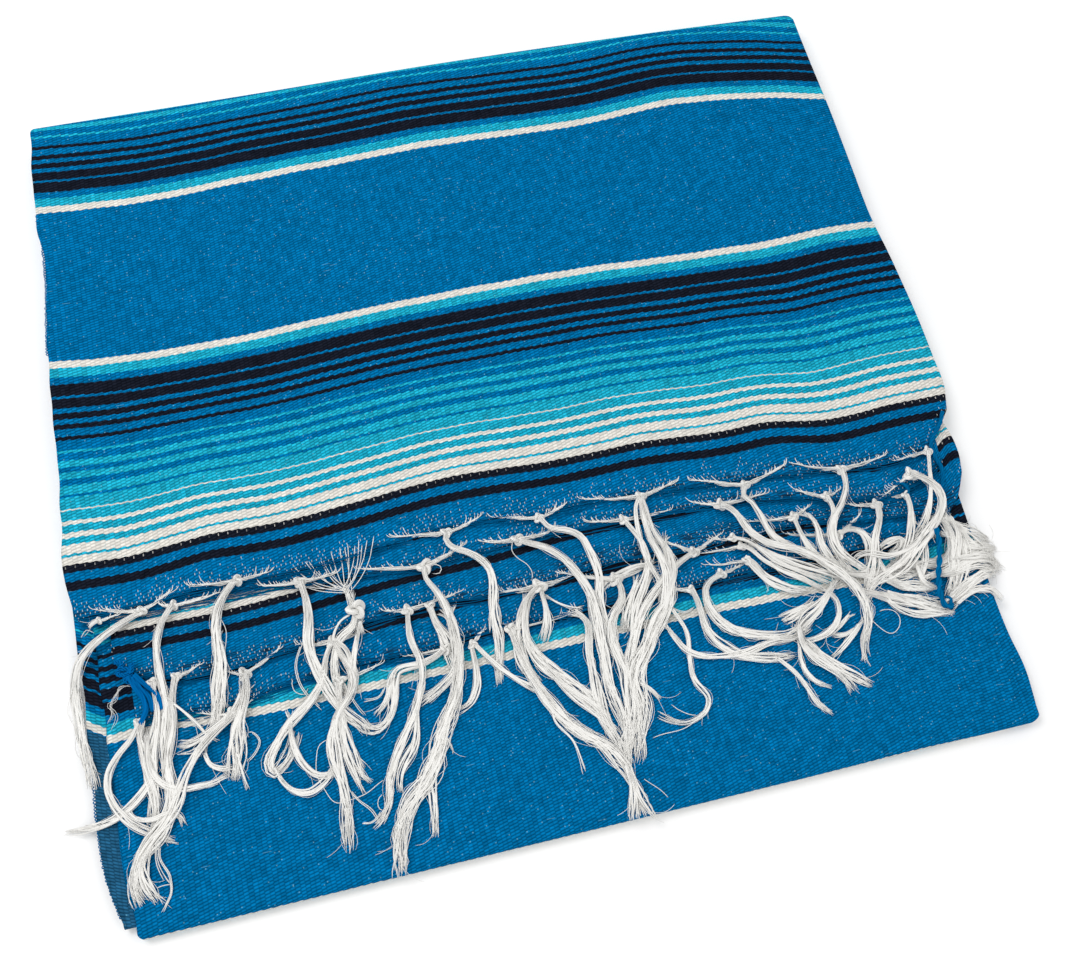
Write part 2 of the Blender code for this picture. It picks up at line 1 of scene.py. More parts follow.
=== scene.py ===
"""Looks of the folded striped serape: its woven cloth, folds, stripes and knotted fringe.

Frame: origin at the middle of the footprint on the resting surface, +X along
the stripes, +Y from the front fold to the far fold, +Z up. Metres.
"""

import logging
from dataclasses import dataclass, field
from enum import Enum
from typing import ClassVar

import bpy
import numpy as np
from mathutils import Matrix


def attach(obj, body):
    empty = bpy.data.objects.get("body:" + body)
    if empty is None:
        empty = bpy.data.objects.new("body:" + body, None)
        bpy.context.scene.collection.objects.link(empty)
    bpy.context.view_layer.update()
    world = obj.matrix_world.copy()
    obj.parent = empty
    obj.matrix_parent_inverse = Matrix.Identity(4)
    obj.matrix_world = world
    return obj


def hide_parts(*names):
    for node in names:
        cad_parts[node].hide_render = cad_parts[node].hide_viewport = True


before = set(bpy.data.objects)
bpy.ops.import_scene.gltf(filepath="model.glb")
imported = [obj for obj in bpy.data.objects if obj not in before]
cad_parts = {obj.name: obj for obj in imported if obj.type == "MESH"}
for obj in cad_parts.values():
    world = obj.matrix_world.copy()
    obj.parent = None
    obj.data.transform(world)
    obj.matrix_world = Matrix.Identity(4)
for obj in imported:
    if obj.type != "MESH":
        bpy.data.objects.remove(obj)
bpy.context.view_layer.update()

LOG = logging.getLogger("serape")
MM = 0.001
EYE = (-0.1324, -0.3505, 0.8956)     # where the camera stands
Array = np.ndarray
Rng = np.random.Generator
Object = bpy.types.Object
Material = bpy.types.Material
Socket = bpy.types.NodeSocket


class Slot(Enum):
    """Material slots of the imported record."""

    CLOTH = "striped_cloth"
    FRINGE = "fringe_cotton"


class Tint(Enum):
    """Linear colours of the wool and the cotton."""

    BLUE = (0.0004, 0.120, 0.298)
    LIGHT = (0.0100, 0.315, 0.455)
    BLACK = (0.0075, 0.0095, 0.0165)
    WHITE = (0.640, 0.620, 0.570)
    FLECK = (0.250, 0.600, 0.700)
    YARN = (0.890, 0.880, 0.850)
    ROVING = (0.0004, 0.125, 0.370)
    SLATE = (0.028, 0.055, 0.053)

    @property
    def rgba(self) -> tuple[float, ...]:
        """The colour with its alpha."""
        return (*self.value, 1.0)


def smooth(value: Array, start: float, end: float) -> Array:
    """Ease from 0 at start to 1 at end, as t² (3 − 2 t)."""
    share = np.clip((value - start) / (end - start), 0.0, 1.0)
    return share * share * (3 - 2 * share)


def hump(value: Array, middle: float, width: float) -> Array:
    """Bell 1 / (1 + (d / width)²)², where d is the distance from its middle."""
    return 1.0 / (1.0 + ((value - middle) / width) ** 2) ** 2


def unit(vectors: Array) -> Array:
    """The same directions, with length 1."""
    return vectors / np.maximum(np.linalg.norm(vectors, axis=-1, keepdims=True), 1e-12)


def metres_along(line: Array) -> Array:
    """Metres from a line's first point to each of its points."""
    return np.concatenate([[0.0], np.cumsum(np.linalg.norm(np.diff(line, axis=0), axis=1))])


def ways(line: Array) -> tuple[Array, Array]:
    """Unit directions along a line in a plane, and a quarter turn to its left, at each point."""
    ahead = unit(np.gradient(line, axis=0))
    return ahead, np.stack([-ahead[:, 1], ahead[:, 0]], axis=-1)


def bend(start: Array, by: Array, end: Array, t: Array) -> Array:
    """Curve from a start to an end that a third place draws to itself: (1 − t)² a + 2 t (1 − t) b + t² c."""
    return (1 - t) ** 2 * start + 2 * t * (1 - t) * by + t * t * end


def put(name: str, data: bpy.types.ID) -> Object:
    """Make an object of its data, link it to the scene and report it.

    Args:
        name: Its name.
        data: Its mesh, lamp or camera.

    Returns:
        The new object.
    """
    item = bpy.data.objects.new(name, data)
    bpy.context.scene.collection.objects.link(item)
    size = f"{len(data.polygons)} faces" if isinstance(data, bpy.types.Mesh) else data.name
    LOG.info("%s: %s", name, size)
    return item


def make_mesh(name: str, points: Array, faces: list, material: Material, attribute: str,
              values: Array) -> bpy.types.Mesh:
    """Make a smooth mesh.

    Args:
        name: Its name.
        points: Points × 3.
        faces: Numbers of each face's points.
        material: Finish of all its faces.
        attribute: Name of what its points hold for the finish.
        values: And its value at each point.

    Returns:
        The new mesh.
    """
    mesh = bpy.data.meshes.new(name)
    mesh.from_pydata(points.tolist(), [], faces)
    data = mesh.attributes.new(attribute, "FLOAT", "POINT").data
    data.foreach_set("value", values.astype(np.float32))
    mesh.polygons.foreach_set("use_smooth", np.ones(len(faces), bool))
    mesh.materials.append(material)
    return mesh


def stand(item: Object, right: Array, up: Array, back: Array,
          place: tuple[float, float, float]) -> None:
    """Stand a lamp or a camera at its place.

    Args:
        item: The lamp or the camera.
        right: Unit direction of its own X.
        up: Of its own Y.
        back: Of its own Z, away from what it looks at.
        place: Where it stands.
    """
    axes = np.eye(4)
    axes[:3] = np.stack([right, up, back, place], axis=1)
    item.matrix_world = Matrix(axes.tolist())


@dataclass(frozen=True)
class Table:
    """A smooth curve through a few measured values (cubic Hermite)."""

    keys: tuple[float, ...]
    values: tuple[float, ...]

    def read(self, at: Array) -> Array:
        """Read the curve; outside its keys it keeps its end value.

        Args:
            at: Places along its keys.

        Returns:
            Its value at each.
        """
        keys, values = np.array(self.keys), np.array(self.values)
        slopes = np.gradient(values, keys)
        at = np.clip(at, keys[0], keys[-1])
        index = np.clip(np.searchsorted(keys, at) - 1, 0, len(keys) - 2)
        width = keys[index + 1] - keys[index]
        t = (at - keys[index]) / width
        start = (1 + 2 * t) * (1 - t) ** 2 * values[index]
        start = start + t * (1 - t) ** 2 * width * slopes[index]
        end = t * t * (3 - 2 * t) * values[index + 1]
        return start + end + t * t * (t - 1) * width * slopes[index + 1]


def level(value: float) -> Table:
    """A curve that keeps one value."""
    return Table((-1.0, 1.0), (value, value))


@dataclass(frozen=True)
class Ripple:
    """Soft seeded unevenness: a sum of plane waves of about one wavelength."""

    seed: int
    length: float
    waves: int = 7

    def at(self, x: Array, y: Array) -> Array:
        """Height about 0 with a spread of about 1: Σ sin(k·p + φ) · √(2 / waves).

        Args:
            x: Places one way.
            y: And across it.

        Returns:
            Height at each.
        """
        rng = np.random.default_rng(self.seed)
        turn = rng.uniform(0, np.pi, self.waves)
        size = 2 * np.pi / (self.length * rng.uniform(0.7, 1.5, self.waves))
        phase = rng.uniform(0, 2 * np.pi, self.waves)
        total = np.zeros(np.broadcast(x, y).shape)
        for angle, number, start in zip(turn, size, phase):
            total = total + np.sin(number * (x * np.cos(angle) + y * np.sin(angle)) + start)
        return total * np.sqrt(2.0 / self.waves)


X_KEYS = (*(number / 100 for number in range(-34, 32, 5)), 0.335, 0.365)


@dataclass(frozen=True)
class Pile:
    """Sizes and surfaces of the folded pile, the same as the solids have.

    Its surfaces take x and y of any places, and give a height for each.
    """

    cloth: float = 1.8 * MM
    gap: float = 0.3 * MM
    hidden_low: float = 7.4 * MM
    height: float = 25.5 * MM
    front: float = -0.330
    butt: float = -0.0415
    far_corner: float = 6.0 * MM
    tuck: float = 12.0 * MM
    first_end: Table = Table(X_KEYS, (
        -0.103, -0.103, -0.099, -0.101, -0.099, -0.093, -0.091, -0.095,
        -0.093, -0.096, -0.099, -0.103, -0.108, -0.109, -0.103, -0.070))
    second_end: Table = Table(X_KEYS, (
        -0.106, -0.107, -0.107, -0.109, -0.113, -0.117, -0.114, -0.112,
        -0.1125, -0.114, -0.116, -0.122, -0.134, -0.133, -0.122, -0.100))
    third_end: Table = Table(
        (-0.3175, -0.309, -0.2985, *X_KEYS[1:14], 0.3326, 0.3388, 0.3440, 0.3510, 0.3564), (
            -0.136, -0.147, -0.152, -0.156, -0.162, -0.157, -0.150, -0.146, -0.149, -0.147,
            -0.143, -0.146, -0.144, -0.144, -0.151, -0.156, -0.159, -0.1544, -0.148, -0.136, -0.125))
    fourth_end: Table = Table(X_KEYS, (
        -0.182, -0.185, -0.187, -0.181, -0.178, -0.177, -0.174, -0.175,
        -0.173, -0.174, -0.172, -0.172, -0.173, -0.175, -0.176, -0.176))
    far_edge: Table = Table((-0.330, -0.150, 0.030, 0.200, 0.363),
                            (0.3205, 0.3248, 0.3302, 0.3315, 0.3300))
    top_left: Table = Table(
        (-0.100, -0.064, 0.006, 0.056, 0.106, 0.196, 0.236, 0.320),
        (-0.3382, -0.3405, -0.3365, -0.3350, -0.3335, -0.3275, -0.3290, -0.3260))
    top_right: Table = Table(
        (-0.100, -0.084, -0.060, -0.030, 0.006, 0.056, 0.106, 0.196, 0.236, 0.320),
        (0.3560, 0.3590, 0.3665, 0.3660, 0.3638, 0.3600, 0.3558, 0.3535, 0.3520, 0.3500))
    low_left: Table = Table((-0.318, -0.290, -0.260, -0.200, -0.040),
                            (-0.3230, -0.3270, -0.3272, -0.3275, -0.3280))
    low_right: Table = Table((-0.318, -0.290, -0.260, -0.200, -0.040),
                             (0.3505, 0.3525, 0.3495, 0.3490, 0.3520))
    inner_left: Table = Table((-0.3205, -0.290, -0.200, -0.040),
                              (-0.3310, -0.3385, -0.3405, -0.3400))
    groove: Table = Table((0.085, 0.111, 0.143, 0.190), (0.3545, 0.3503, 0.3430, 0.3385))

    @property
    def pitch(self) -> float:
        """Height that one more layer adds."""
        return self.cloth + self.gap

    @property
    def far_radius(self) -> float:
        """Radius of the far fold."""
        return self.height / 2

    @property
    def front_radius(self) -> float:
        """Radius of the fifth layer's front fold."""
        return self.upper(5) / 2

    def base(self, layer: int) -> float:
        """Height of a layer's lower side at the front; layer 1 is the top one."""
        return self.hidden_low + self.gap + (6 - layer) * self.pitch

    def upper(self, layer: int) -> float:
        """Height of a layer's upper side at the front."""
        return self.base(layer) + self.cloth

    def swell(self, x: Array, y: Array) -> Array:
        """Swell of all layers, faded at both folds: 0.5 mm · sin(2π(x/.46 + .12)) · cos(2πy/.62)."""
        fade = smooth(y, self.front + 0.01, self.front + 0.09) * (1 - smooth(y, 0.22, 0.30))
        wave = np.sin(2 * np.pi * (x / 0.46 + 0.12)) * np.cos(2 * np.pi * y / 0.62)
        return 0.5 * MM * fade * wave

    def top(self, x: Array, y: Array) -> Array:
        """Upper side of the first layer: a rise to the pile's height, the swell and its own crown."""
        rise = smooth(y, -0.085, 0.06)
        fade = rise * (1 - smooth(y, 0.22, 0.30))
        crown = np.cos(2 * np.pi * (x / 0.52 - 0.05)) * np.sin(2 * np.pi * (y / 0.40 + 0.1))
        low = self.upper(1)
        return low + (self.height - low) * rise + self.swell(x, y) + 1.3 * MM * fade * crown

    def creases(self, x: Array, y: Array) -> Array:
        """Soft unevenness of the first layer, a groove and a ridge by its right side, and a slack end."""
        fade = smooth(y, -0.09, -0.05)
        broad = 0.40 * MM * Ripple(3, 0.17).at(x, y) + 0.16 * MM * Ripple(5, 0.06).at(x, y)
        middle = self.groove.read(y)
        deep = smooth(y, 0.078, 0.105) * (1 - smooth(y, 0.13, 0.20))
        crease = 0.5 * MM * hump(x, middle - 6 * MM, 5 * MM) - 2.0 * MM * hump(x, middle, 3.2 * MM)
        dips = -0.5 * MM * hump(x, -0.318 + 0.02 * np.sin(9 * y), 9 * MM) * smooth(y, 0.0, 0.1)
        edge = 0.7 * MM * Ripple(9, 0.045).at(x, y) * (1 - smooth(y, -0.10, -0.06))
        return fade * (broad + dips) + crease * deep + edge

    def waves(self, layer: int, x: Array, y: Array, end: Table) -> Array:
        """Waves of a lower layer's slack end, which fade 25 mm in from its edge."""
        fade = 1 - smooth(y - end.read(x), 0.0, 25 * MM)
        return 0.5 * MM * Ripple(20 + layer, 0.05).at(x, y) * fade

    def far_axis(self, x: Array) -> Array:
        """Y of the axis about which the far fold turns."""
        return self.far_edge.read(x) - self.far_radius

    def ground(self, x: Array, y: Array) -> Array:
        """Height of whatever cloth is on top; 0 beside the pile.

        The sixth layer is lowest, then the fifth, and each layer above it counts
        where a place lies behind that layer's end.

        Args:
            x: Places across the cloth.
            y: And along it.

        Returns:
            Height at each.
        """
        swell = self.swell(x, y)
        fifth = self.upper(5) + swell
        inside = (x > self.low_left.read(y)) & (x < self.low_right.read(y)) & (y > self.front)
        sixth = (x > self.inner_left.read(y)) & (x < 0.3) & (y > self.front + 0.010)
        height = np.where(sixth, self.upper(6), 0.0)
        height = np.where(inside, fifth, height)
        reach = (x > self.top_left.read(y)) & (x < self.top_right.read(y) - 0.006)
        for layer, end in ((4, self.fourth_end), (3, self.third_end), (2, self.second_end)):
            over = reach & (y > end.read(x))
            top = self.upper(layer) + swell + self.waves(layer, x, y, end)
            height = np.where(over, top, height)
        over = reach & (y > self.first_end.read(x))
        return np.where(over, self.top(x, y) + self.creases(x, y), height)


PILE = Pile()


def normals(grid: Array) -> Array:
    """Unit normals of a grid of points: (second way) × (first way)."""
    return unit(np.cross(np.gradient(grid, axis=1), np.gradient(grid, axis=0)))


@dataclass
class Skin:
    """A mesh put together from closed shells of cloth, with weave coordinates in metres."""

    name: str
    points: list[Array] = field(default_factory=list)
    faces: list[Array] = field(default_factory=list)
    weave: list[Array] = field(default_factory=list)
    loose: list[Array] = field(default_factory=list)
    count: int = 0

    def shell(self, outer: Array, weave: Array, loose: Array | None = None,
              thickness: float = PILE.cloth) -> None:
        """Add a closed wall of cloth.

        The inner face is the outer one moved by −thickness · n, and quads round
        the rim join the two.

        Args:
            outer: Points of the outer face, rows × columns × 3.
            weave: Metres across and along the cloth at each point, rows × columns × 2.
            loose: How much of the warp shows at each point, from 0 to 1, rows × columns.
            thickness: Thickness of the cloth.
        """
        rows, columns = outer.shape[:2]
        inner = outer - thickness * normals(outer)
        index = np.arange(rows * columns).reshape(rows, columns) + self.count
        shift = rows * columns
        quads = np.stack([index[:-1, :-1], index[:-1, 1:], index[1:, 1:], index[1:, :-1]], axis=-1)
        quads = quads.reshape(-1, 4)
        rim = np.concatenate([index[0, :-1], index[:-1, -1], index[-1, :0:-1], index[:0:-1, 0]])
        after = np.roll(rim, -1)
        walls = np.stack([after, rim, rim + shift, after + shift], axis=-1)
        self.points += [outer.reshape(-1, 3), inner.reshape(-1, 3)]
        self.weave += [weave.reshape(-1, 2)] * 2
        self.loose += [np.zeros(shift) if loose is None else loose.ravel()] * 2
        self.faces += [quads, quads[:, ::-1] + shift, walls]
        self.count += 2 * shift

    def build(self, material: Material) -> Object:
        """Make the object.

        Args:
            material: Finish of all its faces.

        Returns:
            The new object, linked to the scene.
        """
        points, faces = np.concatenate(self.points), np.concatenate(self.faces)
        loose = np.concatenate(self.loose)
        mesh = make_mesh(self.name, points, faces.tolist(), material, "loose", loose)
        weave = np.concatenate(self.weave)[faces.ravel()]
        mesh.uv_layers.new(name="weave").data.foreach_set("uv", weave.astype(np.float32).ravel())
        return put(self.name, mesh)


def area(outer: Array) -> float:
    """Area of a grid of points, as the sum over its cells of |a × b|."""
    a, b = np.diff(outer, axis=0)[:, :-1], np.diff(outer, axis=1)[:-1]
    return float(np.linalg.norm(np.cross(a, b), axis=2).sum())


class Value:
    """A number in a material's tree; arithmetic on it adds Math nodes."""

    def __init__(self, graph: "Graph", socket: Socket) -> None:
        """Keep the tree and the output that gives the number."""
        self.graph, self.socket = graph, socket

    def math(self, operation: str, *others: object) -> "Value":
        """One operation on this number and up to two more."""
        return self.graph.math(operation, self, *others)

    def __add__(self, other: object) -> "Value":
        """Sum."""
        return self.math("ADD", other)

    def __sub__(self, other: object) -> "Value":
        """Difference."""
        return self.math("SUBTRACT", other)

    def __rsub__(self, other: object) -> "Value":
        """Difference from a plain number."""
        return self.graph.math("SUBTRACT", other, self)

    def __mul__(self, other: object) -> "Value":
        """Product."""
        return self.math("MULTIPLY", other)

    def __truediv__(self, other: object) -> "Value":
        """Quotient."""
        return self.math("DIVIDE", other)

    def __mod__(self, other: object) -> "Value":
        """What is left over, never less than 0."""
        return self.math("FLOORED_MODULO", other)

    def __pow__(self, other: object) -> "Value":
        """Power."""
        return self.math("POWER", other)

    def __abs__(self) -> "Value":
        """Size without its sign."""
        return self.math("ABSOLUTE")

    def __lt__(self, other: object) -> "Value":
        """1 where it is less, else 0."""
        return self.math("LESS_THAN", other)

    def __gt__(self, other: object) -> "Value":
        """1 where it is more, else 0."""
        return self.math("GREATER_THAN", other)

    def scale(self, by: object, plus: object) -> "Value":
        """This number times one, plus another."""
        return self.math("MULTIPLY_ADD", by, plus)

    def split(self) -> tuple["Value", "Value"]:
        """Its whole part and the rest."""
        return self.math("FLOOR"), self.math("FRACT")


class Graph:
    """A material's node tree, with short calls for the nodes that repeat."""

    def __init__(self, name: str) -> None:
        """Start a material of that name."""
        self.material = bpy.data.materials.new(name)
        self.material.use_nodes = True
        self.tree = self.material.node_tree
        self.shader = self.tree.nodes["Principled BSDF"]

    def node(self, kind: str, inputs: dict | None = None, **settings: object) -> bpy.types.Node:
        """Add a node.

        Args:
            kind: The node's type, without "ShaderNode".
            inputs: Value or output socket for each input, by name or number.
            settings: Properties of the node.

        Returns:
            The node.
        """
        made = self.tree.nodes.new("ShaderNode" + kind)
        for key, value in settings.items():
            setattr(made, key, value)
        for key, value in (inputs or {}).items():
            self.feed(made.inputs[key], value)
        return made

    def feed(self, socket: Socket, value: object) -> None:
        """Give an input its value.

        Args:
            socket: The input.
            value: A number, a colour, or the output that it is linked to.
        """
        if isinstance(value, Value):
            value = value.socket
        if isinstance(value, Socket):
            self.tree.links.new(value, socket)
        else:
            socket.default_value = value

    def math(self, operation: str, *values: object) -> Value:
        """One operation on one to three numbers."""
        return Value(self, self.node("Math", dict(enumerate(values)), operation=operation).outputs[0])

    def attribute(self, name: str) -> Value:
        """A number that the mesh holds at each point."""
        return Value(self, self.node("Attribute", attribute_name=name).outputs["Fac"])

    def spot(self, one: object, two: object) -> Socket:
        """A place in a plane."""
        return self.node("CombineXYZ", {0: one, 1: two}).outputs[0]

    def channel(self, tint: Socket, number: int) -> Value:
        """Red, green or blue of a colour, by its number."""
        return Value(self, self.node("SeparateColor", {0: tint}).outputs[number])

    def mix(self, share: object, one: object, two: object, blend: str = "MIX") -> Socket:
        """Blend two colours by a share from 0 to 1."""
        made = self.node("Mix", {0: share, 6: one, 7: two}, data_type="RGBA", blend_type=blend)
        return made.outputs[2]

    def ease(self, value: Value, start: float, end: float) -> Value:
        """Smooth step from 0 at start to 1 at end."""
        made = self.node("MapRange", {0: value, 1: start, 2: end}, interpolation_type="SMOOTHSTEP")
        return Value(self, made.outputs[0])

    def chance(self, one: object, two: object) -> Value:
        """A random number from 0 to 1 for each pair of whole numbers."""
        made = self.node("TexWhiteNoise", {0: self.spot(one, two)}, noise_dimensions="2D")
        return Value(self, made.outputs[0])

    def noise(self, place: Socket, scale: float, detail: float = 2.0) -> Value:
        """Soft noise from 0 to 1."""
        made = self.node("TexNoise", {"Vector": place, "Scale": scale, "Detail": detail})
        return Value(self, made.outputs[0])

    def shade(self, tint: object, light: Value) -> Socket:
        """A colour times a lightness."""
        grey = self.node("CombineColor", {0: light, 1: light, 2: light}).outputs[0]
        return self.mix(1.0, tint, grey, "MULTIPLY")

    def matt(self, tint: object, roughness: float) -> Material:
        """Give the shader a colour and a roughness without sheen.

        Args:
            tint: The colour.
            roughness: From 0 to 1.

        Returns:
            The material.
        """
        values = {"Base Color": tint, "Roughness": roughness, "Specular IOR Level": 0.0}
        for name, value in values.items():
            self.feed(self.shader.inputs[name], value)
        return self.material


@dataclass(frozen=True)
class Stripes:
    """The stripe pattern along the cloth.

    From the woven end a border of stripes runs to the first plain band; then
    plain bands and mirrored groups of stripes take turns. A group is read by
    its distance from the nearest plain band.
    """

    border: float = 201 * MM     # length of the border at the woven end
    plain: float = 135 * MM      # length of a plain band
    half: float = 150 * MM       # from a plain band to the middle of a group
    group: str = ("W6.6 L7.4 B6.4 K9.5 B2 K7.5 B4 K4.6 B4 K4.3 B5.8 K2.6 B8.1 L2.2 B5.3 L5.5 B4 L5 "
                  "B4.5 L6.5 B2 L8.5 W1.8 L7 W3.8 L5 W4.3 L5 W6.4 L2.7 W5.6 K5.5 B7 K6.5 B24.1")
    cut: int = 18                # bands of a group that the first ramp takes; a ramp holds 32 at most
    ramp_length: float = 250 * MM

    def bands(self) -> list[tuple[float, Tint]]:
        """Read the group.

        Returns:
            Where each of its bands starts, and its colour.
        """
        letters = {"W": Tint.WHITE, "L": Tint.LIGHT, "B": Tint.BLUE, "K": Tint.BLACK}
        words = self.group.split()
        widths = np.array([float(word[1:]) for word in words]) * MM
        starts = np.concatenate([[0.0], np.cumsum(widths)[:-1]])
        return [(float(start), letters[word[0]]) for start, word in zip(starts, words)]

    def dress(self, graph: Graph, along: Value) -> tuple[Socket, Value]:
        """Colour at a distance from the woven end.

        Args:
            graph: The material's tree.
            along: Metres from the woven end.

        Returns:
            The colour and the distance from the nearest plain band.
        """
        past = along - self.border
        turn = past % (self.plain + 2 * self.half)
        inside = self.half - abs(turn - (self.plain + self.half))
        away = (past < 0.0).scale(past * -1.0 - inside, inside)
        bands = self.bands()
        near = self.ramp(graph, away, [(-1 * MM, Tint.BLUE), *bands[:self.cut]])
        far = self.ramp(graph, away, bands[self.cut:])
        return graph.mix(away > bands[self.cut][0], near, far), away

    def ramp(self, graph: Graph, away: Value, bands: list[tuple[float, Tint]]) -> Socket:
        """A ramp of flat bands over part of a group.

        Args:
            graph: The material's tree.
            away: Distance from the nearest plain band.
            bands: Where each band starts, and its colour.

        Returns:
            The colour.
        """
        start, size = bands[0][0], self.ramp_length
        ramp = graph.node("ValToRGB", {0: (away - start) / size})
        ramp.color_ramp.interpolation = "CONSTANT"
        steps = ramp.color_ramp.elements
        for number, (place, tint) in enumerate(bands):
            step = steps[number] if number < 2 else steps.new((place - start) / size)
            step.position = (place - start) / size
            step.color = tint.rgba
        return ramp.outputs[0]


@dataclass(frozen=True)
class ClothFinish:
    """Matt woven wool and cotton: columns of short weft floats, with warp dashes at the ends.

    Its methods take the material's tree, the colour so far, and metres across
    and along the cloth, and give the colour with one thing more.
    """

    stripes: Stripes = Stripes()
    column: float = 3.47 * MM        # width of a column, the length of a float
    row: float = 2.33 * MM           # from one float to the next in a column; every other one is half up
    slant: float = 0.72 * MM         # how far a float rises over its length
    scallop: float = 0.34 * MM       # how far a stripe's edge goes up and down over two columns
    waver: float = 1.6 * MM          # how far a stripe wanders
    dot_space: float = 6.94 * MM     # from one warp dot to the next
    dot_band: tuple[float, float] = (159.4 * MM, 161.2 * MM)     # where they lie in the border
    dash_row: float = 2.76 * MM      # from one row of warp dashes to the next
    dash_size: tuple[float, float] = (0.075, 0.27)   # half a dash, as shares of its cell
    fleck: tuple[float, float] = (0.8 * MM, 0.8 * MM)     # size of a speck, across and along
    hair: tuple[float, float] = (6.0 * MM, 0.35 * MM)     # and of a hair
    slate_share: float = 0.0              # how far the plain blue is taken towards slate

    def build(self, name: str = "serape_cloth") -> Material:
        """Make the material.

        Args:
            name: Its name.

        Returns:
            The material, which reads the weave coordinates.
        """
        graph = Graph(name)
        place = graph.node("UVMap", uv_map="weave").outputs[0]
        across, along = (Value(graph, way) for way in graph.node("SeparateXYZ", {0: place}).outputs[:2])
        columns = across / self.column + graph.noise(place, 60.0) * 0.5
        cell, share = columns.split()
        step = graph.chance(cell, 3.0).scale(0.25 * self.row, cell % 2.0 * (self.row / 2))
        rise = (0.5 - share).scale(self.slant, step)
        number, part = ((along + rise) / self.row).split()
        height = self.bump(share, part)
        edge = (graph.noise(place, 28.0) - 0.5) * self.waver + self.wave(columns)
        tint, away = self.stripes.dress(graph, along + edge)
        tint = self.dull(graph, tint, away)
        tint = self.shade_gaps_and_vary(graph, tint, height, graph.chance(cell, number), across, along)
        tint = self.flecks(graph, tint, across, along)
        tint = self.slack_gap_shade(graph, tint, across, along)
        tint = self.dots(graph, tint, across, away)
        tint, raised = self.dashes(graph, tint, across, along)
        bump = graph.node("Bump", {"Strength": 0.8, "Distance": 0.5 * MM, "Height": height + raised})
        graph.feed(graph.shader.inputs["Normal"], bump.outputs[0])
        return graph.matt(tint, 0.95)

    def dull(self, graph: Graph, tint: Socket, away: Value) -> Socket:
        """Take the plain bands towards slate; the stripes keep their colours."""
        return graph.mix((away < 0.0) * self.slate_share, tint, Tint.SLATE.rgba)

    def wave(self, columns: Value) -> Value:
        """Rounded steps of a stripe's edge: −a (sin φ − 0.35 sin 2φ), one round for two columns."""
        turn = columns * np.pi
        lean = (turn * 2.0).math("SINE").scale(-0.35, turn.math("SINE"))
        return lean * -self.scallop

    @staticmethod
    def bump(share: Value, part: Value) -> Value:
        """Height of a float: (1 − 0.5 (2 s − 1)⁴) · (1 − (2 p − 1)²), s along it and p across it."""
        along, across = share.scale(2.0, -1.0) ** 4.0, part.scale(2.0, -1.0) ** 2.0
        return along.scale(-0.5, 1.0) * (1.0 - across)

    @staticmethod
    def shade_gaps_and_vary(graph: Graph, tint: Socket, height: Value, luck: Value, across: Value, along: Value) -> Socket:
        """Paint shade into the gaps between floats, and vary each float's tone at random; white takes least
        of it.

        Args:
            graph: The material's tree.
            tint: Colour so far.
            height: Height of a float.
            luck: A random number of its own.
            across: Metres across the cloth.
            along: Metres from the woven end.

        Returns:
            The colour.
        """
        # painted shade: a float is darkest at its low sides, in the gaps between floats
        light = height.scale(0.94, 0.46) * luck.scale(0.38, 0.81)
        light = light * graph.noise(graph.spot(across, along * 0.5), 190.0, 3.0).scale(0.7, 0.65)
        share = graph.channel(tint, 0).scale(-0.85, 1.0)
        return graph.shade(tint, (light - 1.0).scale(share, 1.0))

    def flecks(self, graph: Graph, tint: Socket, across: Value, along: Value) -> Socket:
        """A few pale specks and short pale hairs on all but the black: rare cells of two grids."""
        shown = graph.ease(graph.channel(tint, 2), 0.05, 0.20)
        for (wide, tall), rare, strength in ((self.fleck, 0.9955, 0.42), (self.hair, 0.9994, 0.30)):
            luck = graph.chance((across / wide).math("FLOOR"), (along / tall).math("FLOOR"))
            tint = graph.mix((luck > rare) * strength * shown, tint, Tint.FLECK.rgba)
        return tint

    @staticmethod
    def slack_gap_shade(graph: Graph, tint: Socket, across: Value, along: Value) -> Socket:
        """Painted shade in the gaps between slipped wefts, up to 11 mm from a woven end: noise drawn out
        along them, mixed towards black.
        """
        gap = graph.ease(graph.noise(graph.spot(across * 70.0, along * 900.0), 1.0), 0.47, 0.60)
        near = 1.0 - graph.ease(along, 2 * MM, 11 * MM)
        # painted shade: black mixed in where the gaps are
        return graph.mix(gap * near * 0.85, tint, Tint.BLACK.rgba)

    def dots(self, graph: Graph, tint: Socket, across: Value, away: Value) -> Socket:
        """Small uneven warp dots in the black band beside the border's white one."""
        number, share = (across / self.dot_space).split()
        low, high = self.dot_band
        inside = (share < 0.10) * ((away > low) * (away < high))
        return graph.mix(inside * (graph.chance(number, 5.0) * 0.7), tint, Tint.WHITE.rgba)

    def dashes(self, graph: Graph, tint: Socket, across: Value, along: Value) -> tuple[Socket, Value]:
        """Staggered warp dashes that show between the wefts where the weave is loose.

        Args:
            graph: The material's tree.
            tint: Colour so far.
            across: Metres across the cloth.
            along: Metres from the woven end.

        Returns:
            The colour, and 1 on a dash and 0 beside it.
        """
        row, tall = (along / self.dash_row).split()
        column, wide = row.scale(0.5, across / self.column).split()
        dash = (abs(wide - 0.5) < self.dash_size[0]) * (abs(tall - 0.5) < self.dash_size[1])
        seen = dash * (graph.chance(column, row) < graph.attribute("loose"))
        return graph.mix(seen * 0.78, tint, Tint.WHITE.rgba), seen


@dataclass(frozen=True)
class YarnFinish:
    """Soft matt yarn of one colour, a little lighter or darker from strand to strand."""

    name: str
    tint: Tint

    def build(self) -> Material:
        """Make the material, which reads each yarn's own tone.

        Returns:
            The material.
        """
        graph = Graph(self.name)
        light = graph.attribute("tone").scale(0.12, 0.90)
        return graph.matt(graph.shade(self.tint.rgba, light), 0.9)


